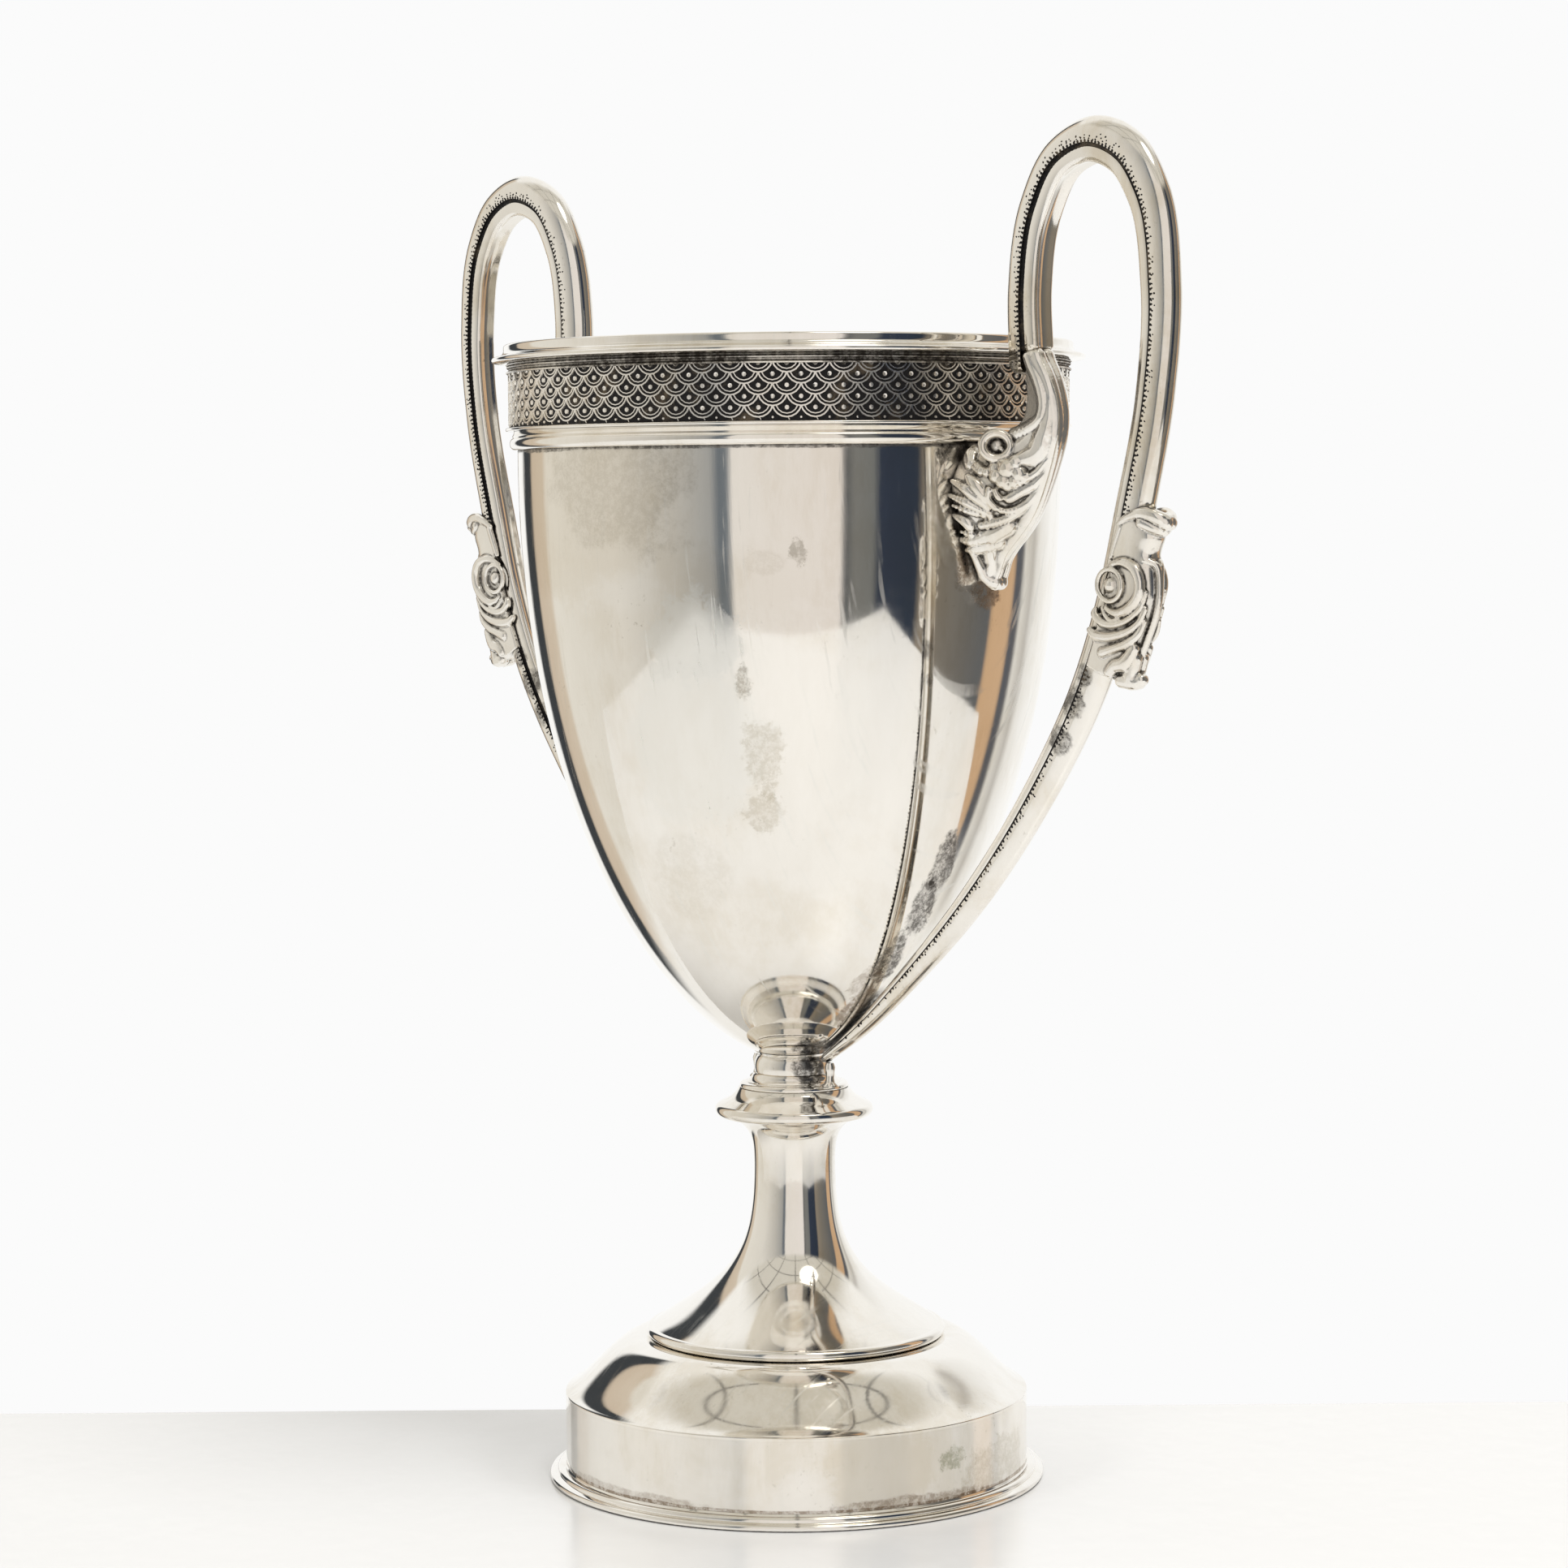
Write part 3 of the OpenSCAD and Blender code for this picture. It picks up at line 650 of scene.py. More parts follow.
def scale_band():
    ground_r = BAND_R - 0.42
    ground = [(BOWL_R, BAND_LOW), (ground_r, BAND_LOW), (ground_r, BAND_HIGH), (BOWL_R, BAND_HIGH)]
    turned("band_ground", ground, band_oxide)
    pitch = tau * ground_r / SCALES_ROUND
    plain, hollow = scale_shape(pitch, False), scale_shape(pitch, True)
    dot, tick = bmesh.new(), bmesh.new()
    button(dot, [(0.36, 0.0), (0.24, 0.26), (0.0, 0.32)], 8, 0)
    ridge(tick, [(-0.12, 0.42), (0.18, -0.1)], 0.26, 0.24)
    dot, tick = Stamp(dot), Stamp(tick)
    random.seed(3)
    bm = bmesh.new()
    for row in range(SCALE_ROWS):
        shift = 0.5 * (row % 2)
        height = BAND_LOW + FIRST_ROW + ROW_PITCH * row
        for i in range(SCALES_ROUND):
            kind = hollow if random.random() < 0.18 + 0.2 * row else plain
            kind.press(bm, Matrix.Translation(((i + shift) * pitch, 0, height)))
    for i in range(SCALES_ROUND):
        tick.press(bm, Matrix.Translation(((i + 0.06) * pitch, 0, BAND_LOW + 0.3)))
        dot.press(bm, Matrix.Translation(((i + 0.5) * pitch, 0, BAND_LOW + 0.75)))
    bmesh.ops.bisect_plane(bm, geom=bm.verts[:] + bm.edges[:] + bm.faces[:], dist=1e-4,
                           plane_co=(0, 0, BAND_HIGH), plane_no=(0, 0, 1), clear_outer=True)
    bmesh.ops.holes_fill(bm, edges=[e for e in bm.edges if e.is_boundary], sides=0)
    wrapped(bm, ground_r - 0.03)
    piece_from("scale_relief", bm, struck_silver, "scale_band")


# ---------------------------------------------------------------- stem and foot

def stem_outside(z):
    flare = (STEP_R - 8.7) * exp(-(max(z - BEAD_LOW - 0.5, 0) / 12) ** 1.42)
    return 9.2 + flare + 6.2 * exp(-(KNOP_LOW - z) / 2.4)


def stem_and_knop():
    heights = [BEAD_TOP + (KNOP_LOW - BEAD_TOP) * i / 70 for i in range(71)]
    outside = [(stem_outside(z), z) for z in heights]
    inside = [(r - 1, z) for r, z in outside]
    turned("stem", outside + inside[::-1], foot_silver, "stem")
    nose = 1.55
    knop = [(ROD_HOLE_R, KNOP_LOW), (KNOP_R - nose - 0.2, KNOP_LOW)]
    knop += arc(KNOP_R - nose, KNOP_LOW + nose, nose, -90, 62, 18)
    knop += arc(KNOP_R + 0.3, KNOP_TOP + 3.2, 6.4, 238, 206, 12)
    knop += [(12.1, KNOP_TOP), (ROD_HOLE_R, KNOP_TOP)]
    turned("knop", knop, foot_silver, "knop")
    ring = [(ROD_HOLE_R, KNOP_TOP), (RING_R - 0.9, KNOP_TOP)]
    ring += arc(RING_R - 0.8, KNOP_TOP + 0.8, 0.8, -85, 85, 12)
    ring += [(ROD_HOLE_R, COLLAR_LOW)]
    turned("collar_ring", ring, moulding_silver, "collar_ring")


def collar():
    """Waisted collar: a spread foot, a small step, and a slightly swollen neck up to the bowl."""
    seat = [(r, z) for r, z in bowl_line(BOWL_R, BOWL_BOTTOM, 90) if ROD_HOLE_R < r < COLLAR_R]
    outline = [(ROD_HOLE_R, COLLAR_LOW), (10.9, COLLAR_LOW)]
    outline += arc(11.5, COLLAR_LOW + 2.0, 2.0, 250, 188, 10)
    outline += [(9.2, COLLAR_LOW + 2.1)]
    outline += arc(4.4, 94.6, 4.7, -20, 35, 14)
    outline += [(COLLAR_R - 0.3, 97.4), (COLLAR_R, 98.0)]
    outline += seat[::-1] + [(ROD_HOLE_R, BOWL_BOTTOM + 0.3)]
    turned("collar", outline, foot_silver, "collar")


def dome_line(drop, steps):
    dome_z = BEAD_LOW
    line = []
    for i in range(steps + 1):
        t = i / steps
        rise = sin(radians(90 * min(1.165 * t, 1) ** 1.32))
        line.append((PLINTH_R + (STEP_R - 1.5 - PLINTH_R) * t,
                     PLINTH_Z + (dome_z - PLINTH_Z) * rise - drop))
    return line


def foot():
    half = (BEAD_TOP - BEAD_LOW) / 2
    bead = [(STEP_R - 2.6, BEAD_LOW)] + arc(STEP_R - half, BEAD_LOW + half, half, -90, 90, 16)
    turned("step_bead", bead + [(STEP_R - 2.6, BEAD_TOP)], foot_silver, "step_bead")
    outer = dome_line(0, 60)
    edge = arc(PLINTH_R - 0.25, PLINTH_Z - 0.25, 0.25, -20, 60, 5)
    inner = dome_line(1, 30)[1:]
    dome = [(PLINTH_R - 1, PLINTH_Z - 1), (PLINTH_R, PLINTH_Z - 1)] + edge + outer[1:] + inner[::-1]
    turned("plinth_dome", dome, foot_silver, "plinth_dome")
    wall = [(PLINTH_R - 1, FOOT_H)] + [(PLINTH_R, FOOT_H + rise) for rise in (0, 4, 8, 12)]
    wall += [(PLINTH_R, PLINTH_Z - 1), (PLINTH_R - 1, PLINTH_Z - 1)]
    turned("plinth_wall", wall, foot_silver, "plinth_wall")
    ring = [(FOOT_HOLE_R, 0), (FOOT_R - 0.6, 0)]
    ring += arc(FOOT_R - 0.55, 0.75, 0.75, -75, 80, 10)
    ring += [(FOOT_R - 1.0, 1.62), (FOOT_R - 1.55, 1.75)]
    ring += arc(FOOT_R - 2.5, 1.85, 0.95, 0, 88, 8)
    ring += [(PLINTH_R + 0.2, 2.75), (PLINTH_R - 0.1, FOOT_H), (FOOT_HOLE_R, FOOT_H)]
    turned("foot_ring", ring, moulding_silver, "foot_ring")


# ---------------------------------------------------------------- handles

def lengths_to(places):
    """Distance along the handle's middle line from the first place to each."""
    rows = [smooth_row(HANDLE_LINE, s) for s in places]
    along = [0.0]
    for a, b in zip(rows, rows[1:]):
        along.append(along[-1] + sqrt((b[0] - a[0]) ** 2 + (b[1] - a[1]) ** 2))
    return along


def line_places(start, end, spacing):
    """Places along the handle's middle line between two rows, evenly spaced in millimetres."""
    fine = 2000
    last = len(HANDLE_LINE) - 1
    along = lengths_to([last * i / fine for i in range(fine + 1)])
    first = along[round(start / last * fine)]
    final = along[round(end / last * fine)]
    count = max(round((final - first) / spacing), 2)
    result, k = [], 0
    for i in range(count + 1):
        want = first + (final - first) * i / count
        while k < fine and along[k + 1] < want:
            k += 1
        part = (want - along[k]) / max(along[k + 1] - along[k], 1e-9) if k < fine else 0
        result.append((last * (k + part) / fine, want - first, final - want))
    return result


def limb(s):
    """Middle, outward direction, forward direction, half depth and half width at place s."""
    x, z, deep, wide = smooth_row(HANDLE_LINE, s)
    xa, za = smooth_row(HANDLE_LINE, s + 0.01)[:2]
    xb, zb = smooth_row(HANDLE_LINE, s - 0.01)[:2]
    ahead = Vector((xa - xb, 0, za - zb)).normalized()
    return Vector((x, 0, z)), Vector((-ahead.z, 0, ahead.x)), ahead, deep, wide


def handle_ring(s, section, size):
    middle, out, _, deep, wide = limb(s)
    return [middle + out * (u * deep * size) + Vector((0, v * wide * size, 0))
            for u, v in section]


def end_size(near, nose):
    """Share of the section left at a distance from a rounded end."""
    return max(sqrt(1 - max(1 - near / nose, 0) ** 2), 0.04)


def handle_piece(name, section, start, end, spacing, nose, finish, is_node=True):
    """Sweeps a section along both handles between two rows, with rounded ends."""
    bm = bmesh.new()
    sweep(bm, [handle_ring(s, section, end_size(min(before, after), nose))
               for s, before, after in line_places(start, end, spacing)])
    both_sides(name, bm, finish, is_node)


def handle_shell():
    reach = radians(SHELL_REACH)
    steps = 30
    section = [(cos(-reach + 2 * reach * k / steps), sin(-reach + 2 * reach * k / steps))
               for k in range(steps + 1)]
    section += [(cos(reach) + 0.04, 0.86), (cos(reach) + 0.35, 0.66), (cos(reach) + 0.35, -0.66),
                (cos(reach) + 0.04, -0.86)]
    handle_piece("handle_shell", section, 0, len(HANDLE_LINE) - 1, 0.9, 2.4, handle_silver)


def handle_liner():
    top = cos(radians(SHELL_REACH)) + 0.12
    half = [(top, 0.72), (-0.33, 0.72), (-0.37, 0.84), (-0.44, 0.88), (-0.62, 0.87),
            (-0.84, 0.82), (-0.95, 0.72), (-1.0, 0.60), (-0.985, 0.50), (-0.93, 0.30), (-0.89, 0.0)]
    section = half + [(u, -v) for u, v in half[-2::-1]]
    handle_piece("handle_liner", section, 1, len(HANDLE_LINE) - 1, 0.9, 2.0, handle_silver)


def handle_groove():
    """Black floor of the groove between the shell and the liner."""
    section = [(-0.08, 0.86), (-0.20, 0.83), (-0.36, 0.79), (-0.36, -0.79), (-0.20, -0.83),
               (-0.08, -0.86)]
    handle_piece("handle_groove", section, 1, len(HANDLE_LINE) - 1.3, 1.2, 2.0, band_oxide, False)


def handle_milling():
    """Fine black cuts along both lips of the shell, in a ragged row that thins out lower down."""
    mark = round_stamp(1)
    bm = bmesh.new()
    random.seed(5)
    for s, _, after in line_places(0.25, len(HANDLE_LINE) - 1.8, MILL_PITCH):
        middle, out, ahead, deep, wide = limb(s)
        for side in (-1, 1):
            for row, (reach, share) in enumerate(((98, 1.0), (92, 0.8), (86, 0.45), (78, 0.1))):
                if random.random() > share * min(1, 0.35 + after / 220):
                    continue
                angle = radians(reach + random.uniform(-1, 1) * (3 if row else 0.5)) * side
                spot = middle + out * cos(angle) * deep + Vector((0, sin(angle) * wide, 0))
                spot += ahead * (random.uniform(-0.3, 0.3) if row else 0)
                up = (out * cos(angle) / deep + Vector((0, sin(angle) / wide, 0))).normalized()
                across = ahead.cross(up) * side
                lean = (across + ahead * (random.uniform(0.1, 0.9) if row else 0)).normalized()
                other = up.cross(lean)
                length = random.uniform(0.18, 0.32) if row else 0.46
                width = random.uniform(0.16, 0.26) if row else 0.34
                size = Matrix((lean * length, other * width, up * 0.12))
                mark.press(bm, Matrix.Translation(spot) @ size.transposed().to_4x4())
    both_sides("handle_milling", bm, band_oxide, False)


def tip_post():
    """Small turned post with a spread foot, between the handle's tip and the collar ring."""
    x = (low("right_tip_post").x + high("right_tip_post").x) / 2
    base, top = COLLAR_LOW - 0.1, high("right_tip_post").z
    outline = [(0, base), (2.0, base), (1.9, base + 0.35), (1.2, base + 0.9), (0.95, base + 1.8),
               (1.05, base + 3.2), (1.25, base + 4.4), (0.9, top), (0, top)]
    bm = spun(outline, 24)
    bmesh.ops.translate(bm, vec=(x, 0, 0), verts=bm.verts)
    both_sides("tip_post", bm, moulding_silver)


# ---------------------------------------------------------------- cast mounts

def curve_through(points, spacing):
    """Points of any length on a smooth curve through the given ones, about evenly spaced."""
    if len(points) == 1:
        return list(points)
    ends = [points[0]] + list(points) + [points[-1]]
    result = []
    for a, b, c, d in zip(ends, ends[1:], ends[2:], ends[3:]):
        steps = max(round(sqrt(sum((q - p) ** 2 for p, q in zip(b, c))) / spacing), 1)
        for i in range(steps):
            t = i / steps
            result.append([
                0.5 * (2 * q + (r - p) * t + (2 * p - 5 * q + 4 * r - u) * t * t
                       + (3 * q - p - 3 * r + u) * t ** 3)
                for p, q, r, u in zip(a, b, c, d)])
    result.append(list(points[-1]))
    return result


def straight_row(z):
    """Back, ridge and half widths of the bracket at height z, straight between the given rows."""
    for upper, lower in zip(BRACKET_ROWS, BRACKET_ROWS[1:]):
        if z >= lower[0] or lower is BRACKET_ROWS[-1]:
            break
    share = min(max((upper[0] - z) / (upper[0] - lower[0]), 0), 1)
    upper = [upper[1] or bowl_outside(upper[0])] + list(upper[2:])
    lower = [lower[1] or bowl_outside(lower[0])] + list(lower[2:])
    return [a + (b - a) * share for a, b in zip(upper, lower)]


def bracket_row(z):
    """The same with its corners rounded off."""
    near = [straight_row(z + step) for step in (-2.4, -1.2, 0, 1.2, 2.4)]
    return [sum(values) / len(near) for values in zip(*near)]


# Balls of a stroke lie this far apart, and the bracket's are this much fuller than their radius
STROKE_SPACING = 0.3
STROKE_FULLNESS = 1.75
# Fineness of the skin over a casting
CAST_GRAIN = 0.22
# Top of the bracket, and the height of one step down its core
BRACKET_TOP = BRACKET_ROWS[0][0]
CORE_STEP = 1.2

# Shares of the way from the middle of the ridge to the leaf's edge at the corners of its section
BRACKET_SHARES = (0, 0.1, 0.25, 0.5, 0.85, 1.0)


def bracket_corners(z):
    back, ridge_x, w_back, w_flank, w_ridge = bracket_row(z)
    deep = ridge_x - back
    return [(ridge_x, 0), (ridge_x, w_ridge * 0.6), (back + 0.9 * deep, w_ridge * 1.2),
            (back + 0.6 * deep, w_flank), (back + 0.22 * deep, w_back * 1.02),
            (sqrt(max(back * back - w_back * w_back, 0)), w_back)]


def bracket_side(z, share):
    """Point and outward direction on the bracket's side."""
    def at(share):
        corners = bracket_corners(z)
        share = max(min(share, 1.15), 0)
        for i in range(5):
            if share <= BRACKET_SHARES[i + 1] or i == 4:
                break
        t = (share - BRACKET_SHARES[i]) / (BRACKET_SHARES[i + 1] - BRACKET_SHARES[i])
        (xa, ya), (xb, yb) = corners[i:i + 2]
        return Vector((xa + (xb - xa) * t, ya + (yb - ya) * t, z))

    along = at(share + 0.06) - at(max(share - 0.06, 0))
    facing = Vector((along.y, -along.x, 0)) if along.length else Vector((1, 0, 0))
    if share < 0.06:
        facing = Vector((1, 0, 0))
    return at(share), facing.normalized()


BALL = round_stamp(2)


def ball(bm, centre, radius):
    """One ball on each side of the casting."""
    for side in (-1, 1):
        place = Matrix.Translation((centre.x, centre.y * side, centre.z))
        BALL.press(bm, place @ Matrix.Scale(radius, 4))


def bracket_strokes(bm, *strokes):
    """Raised strokes on both sides. Each has points: height, share, radius and how far it stands
    proud."""
    for stroke in strokes:
        for z, share, radius, proud in curve_through(stroke, STROKE_SPACING):
            spot, facing = bracket_side(z, share)
            radius *= STROKE_FULLNESS
            ball(bm, spot - facing * (radius - proud), radius)


def drop_islands(bm):
    """Removes closed pockets and loose crumbs, so that one skin is left."""
    left, islands = set(bm.verts), []
    while left:
        found, edge = set(), [left.pop()]
        while edge:
            vert = edge.pop()
            found.add(vert)
            for line in vert.link_edges:
                other = line.other_vert(vert)
                if other in left:
                    left.discard(other)
                    edge.append(other)
        islands.append(found)
    islands.sort(key=len)
    crumbs = [vert for island in islands[:-1] for vert in island]
    bmesh.ops.delete(bm, geom=crumbs, context="VERTS")


def cast(name, bm):
    """Runs overlapping shapes together into one skin, for both sides."""
    rough_mesh = mesh_of(name + "_rough", bm)
    rough = placed(name + "_rough", rough_mesh)
    skin = rough.modifiers.new("skin", "REMESH")
    skin.mode = "VOXEL"
    skin.voxel_size = CAST_GRAIN
    graph = bpy.context.evaluated_depsgraph_get()
    mesh = bpy.data.meshes.new_from_object(rough.evaluated_get(graph))
    bpy.data.objects.remove(rough)
    bpy.data.meshes.remove(rough_mesh)
    bm = bmesh.new()
    bm.from_mesh(mesh)
    bpy.data.meshes.remove(mesh)
    drop_islands(bm)
    for _ in range(2):
        bmesh.ops.smooth_vert(bm, verts=bm.verts, factor=0.5, use_axis_x=True, use_axis_y=True,
                              use_axis_z=True)
    both_sides(name, bm, cast_silver)


# How much of the bracket's side the leaf covers at each height, from the ridge outwards
LEAF_REACH = [(254.5, 1.0), (224, 1.0), (218.5, 0.90), (215.6, 0.78), (212, 0.60), (209.4, 0.48),
              (207.3, 0.32), (205.0, 0.10)]


def leaf_reach(z):
    for (za, a), (zb, b) in zip(LEAF_REACH, LEAF_REACH[1:]):
        if z >= zb:
            break
    return a + (b - a) * min(max((za - z) / (za - zb), 0), 1)


def bracket_core(bm):
    """Plain body of the bracket; below the leaf's edge it is cut back to the bowl."""
    rings = []
    for i in range(41):
        z = BRACKET_TOP - i * CORE_STEP
        sunk = 0.35 if z > 238 else 0.45
        reach = leaf_reach(z)
        half = []
        for share in (0, 0.1, 0.25, 0.4, 0.55, 0.7, 0.85, 1.0):
            spot, facing = bracket_side(z, share * reach)
            half.append(spot - facing * (0.35 if share * reach < 0.2 else sunk))
        edge, back = half[-1], bracket_row(z)[0]
        half.append(Vector((back + (edge.x - back) * 0.3, edge.y * 0.72, z)))
        half.append(Vector((back - 0.3, edge.y * 0.6, z)))
        half[0].y = 0
        rings.append(half + [Vector((p.x, -p.y, p.z)) for p in half[:0:-1]])
    sweep(bm, rings)


def neck_strokes(bm):
    """Two bright edges that run down from the handle's end, with a hollow face between them."""
    bracket_strokes(bm,
        ((254.3, 0.80, 0.9, 0.7), (250.5, 0.62, 0.8, 0.75), (247, 0.50, 0.8, 0.75),
         (243.5, 0.48, 0.8, 0.7), (241, 0.55, 0.8, 0.7), (239.3, 0.72, 0.9, 0.7),
         (238, 0.86, 1.0, 0.7)),
        ((254.5, 0.10, 1.2, 0.2), (248, 0.08, 1.3, 0.25), (240, 0.07, 1.3, 0.25),
         (233, 0.07, 1.2, 0.3), (226, 0.08, 1.2, 0.35), (219, 0.10, 1.1, 0.35),
         (212, 0.10, 0.9, 0.4), (208, 0.05, 0.8, 0.4)),
        ((246, 0.40, 1.2, 0.15), (241, 0.38, 1.4, 0.30), (237.6, 0.34, 1.7, 0.6),
         (235.2, 0.30, 2.0, 0.8), (233.4, 0.33, 1.7, 0.8), (232.7, 0.40, 0.9, 0.6)))


def volute_strokes(bm):
    """Round volute at the head of the leaf, hollow in the middle, and the little lobe beside it."""
    centre = Vector((72.4, 7.2, 235.6))
    level = Vector((0.78, -0.62, 0))
    facing = Vector((0.62, 0.78, 0))
    for i in range(36):
        turn = radians(10 * i)
        swell = 0.85 + 0.25 * sin(turn / 2)
        rim = centre + level * (3.0 * cos(turn)) + Vector((0, 0, 2.7 * sin(turn)))
        ball(bm, rim, swell)
        ball(bm, rim - facing * 1.4, swell)
    for depth, radius in ((2.6, 2.4), (4.4, 3.0)):
        ball(bm, centre - facing * depth, radius)
    ball(bm, centre + level * 1.0 - facing * 0.6 - Vector((0, 0, 0.6)), 0.7)
    bracket_strokes(bm,
        ((234.4, 0.98, 0.9, 0.9), (233.2, 0.92, 1.3, 1.1), (231.8, 0.88, 1.0, 0.9)),
        ((231.0, 0.80, 0.8, 0.6), (230.3, 0.74, 0.8, 0.7), (230.0, 0.68, 0.7, 0.6)))


def shell_lobe(bm):
    """Scalloped lobe below the volute."""
    for z, share, radius in ((230.8, 0.60, 1.0), (229.2, 0.56, 1.1), (228.1, 0.48, 1.1),
                             (228.0, 0.40, 1.1), (228.8, 0.33, 0.9), (230.7, 0.48, 1.4),
                             (229.6, 0.38, 1.2), (231.9, 0.43, 1.1), (231.6, 0.53, 0.9),
                             (227.1, 0.44, 0.8)):
        bracket_strokes(bm, ((z, share, radius, radius * 0.95),))


def leaf_strokes(bm):
    """Ribs that sweep from the ridge to the leaf's pointed edge, from the top to the tip."""
    bracket_strokes(bm,
        ((232.8, 0.16, 0.3, 0.35), (230.3, 0.24, 0.45, 0.6), (228.2, 0.33, 0.5, 0.7),
         (226.9, 0.42, 0.45, 0.6)),
        ((230, 0.14, 0.7, 0.4), (227.4, 0.25, 0.8, 0.7), (225.7, 0.34, 0.8, 0.8),
         (224.4, 0.41, 0.7, 0.8), (224.5, 0.48, 0.5, 0.7), (226, 0.53, 0.4, 0.5)),
        ((226.4, 0.60, 0.4, 0.7), (224.2, 0.59, 0.5, 0.8), (222.4, 0.50, 0.5, 0.8),
         (221.7, 0.40, 0.5, 0.8), (222.5, 0.30, 0.6, 0.7), (225, 0.20, 0.8, 0.5),
         (228, 0.13, 0.8, 0.3)),
        ((229.2, 0.86, 0.4, 0.6), (227.4, 0.76, 0.9, 0.9), (225.4, 0.67, 0.9, 0.8),
         (222.8, 0.56, 0.5, 0.5)),
        ((228.2, 0.98, 0.35, 0.6), (226.6, 0.86, 0.7, 0.8), (224.8, 0.74, 0.8, 0.8),
         (222.5, 0.60, 0.5, 0.5)),
        ((225.2, 1.0, 0.35, 0.6), (223.8, 0.86, 0.65, 0.8), (222.4, 0.72, 0.6, 0.7),
         (221, 0.56, 0.5, 0.5)),
        ((223, 0.98, 0.3, 0.5), (222, 0.86, 0.5, 0.7), (221.2, 0.72, 0.5, 0.6),
         (220.6, 0.56, 0.45, 0.5), (220.6, 0.40, 0.5, 0.4)),
        ((220.9, 1.0, 0.4, 0.6), (219.8, 0.90, 0.8, 0.9), (218.6, 0.84, 0.8, 0.8)),
        ((218.4, 0.80, 0.4, 0.6), (218.7, 0.66, 0.6, 0.8), (219.2, 0.52, 0.7, 0.8),
         (220.3, 0.38, 0.7, 0.7), (222.4, 0.28, 0.8, 0.5), (225.4, 0.18, 0.8, 0.3)),
        ((217.3, 0.95, 0.3, 0.5), (216.8, 0.82, 0.6, 0.7), (216.9, 0.66, 0.5, 0.5)),
        ((215.6, 0.98, 0.5, 0.6), (215.4, 0.84, 0.9, 0.8), (215.9, 0.66, 1.2, 0.8),
         (216.9, 0.48, 1.5, 0.8), (218.8, 0.34, 1.5, 0.6)),
        ((213.4, 0.92, 0.4, 0.5), (213.6, 0.78, 0.8, 0.7), (214.3, 0.56, 1.2, 0.7),
         (215.4, 0.36, 1.3, 0.5)),
        ((212.6, 0.80, 0.5, 0.6), (211.4, 0.72, 0.6, 0.8), (209.6, 0.62, 0.7, 0.9),
         (207.8, 0.48, 0.8, 1.0), (206.6, 0.26, 0.9, 1.0)),
        ((212.4, 0.40, 0.4, 0.5), (210.9, 0.38, 0.35, 0.6), (209.4, 0.36, 0.5, 0.8),
         (208.3, 0.34, 0.6, 0.8)),
        ((214, 0.46, 1.2, 0.3), (211, 0.36, 1.1, 0.45), (208, 0.22, 0.9, 0.6)),
        ((206.4, 0.08, 1.1, 1.4),),
        ((212, 0.10, 0.6, 0.5), (209.5, 0.10, 0.6, 0.9), (207.4, 0.12, 0.7, 1.0)))


def leaf_bracket():
    bm = bmesh.new()
    bracket_core(bm)
    neck_strokes(bm)
    volute_strokes(bm)
    shell_lobe(bm)
    leaf_strokes(bm)
    cast("leaf_bracket", bm)


# Row of HANDLE_LINE at which the scroll mount starts, and how many rows it covers
MOUNT_START = 10
MOUNT_ROWS = 2


# Length of that stretch, measured in this many steps
MOUNT_FINE = 200
MOUNT_LENGTH = lengths_to([MOUNT_START + MOUNT_ROWS * i / MOUNT_FINE
                           for i in range(MOUNT_FINE + 1)])[-1]


def mount_limb(along):
    """The handle under the scroll mount, at a distance from the mount's start."""
    return limb(MOUNT_START + MOUNT_ROWS * (along / MOUNT_LENGTH))


def mount_strokes(bm, *strokes):
    """Raised strokes on both sides. Each has points: distance along, distance out, half width and
    radius."""
    for stroke in strokes:
        for along, out_by, half, radius in curve_through(stroke, STROKE_SPACING):
            middle, out = mount_limb(along)[:2]
            ball(bm, middle + out * out_by + Vector((0, half - radius * 0.35, 0)), radius)


def mount_core(bm):
    """Plain body of the mount: it wraps the limb's outer side and rises to a ridge."""
    ridges = [(0.6, 5.4), (3, 8.0), (7, 7.6), (11, 8.8), (15, 10.0), (19, 10.2), (24, 9.8),
              (28, 9.2), (31, 8.6), (34, 7.0)]
    rings = []
    for along, rise in curve_through(ridges, 0.8):
        middle, out, _, deep, wide = mount_limb(along)
        ring = []
        for k in range(25):
            angle = radians(-96 + 8 * k)
            u = abs(cos(angle)) ** 0.75 * (rise if cos(angle) > 0 else -rise * 0.4)
            v = abs(sin(angle)) ** 0.75 * (wide + 0.55) * (1 if sin(angle) > 0 else -1)
            ring.append(middle + out * u + Vector((0, v, 0)))
        ring += [middle - out * (0.4 * deep), middle - out * (0.4 * deep) - Vector((0, 0.4, 0))]
        rings.append(ring)
    sweep(bm, rings)


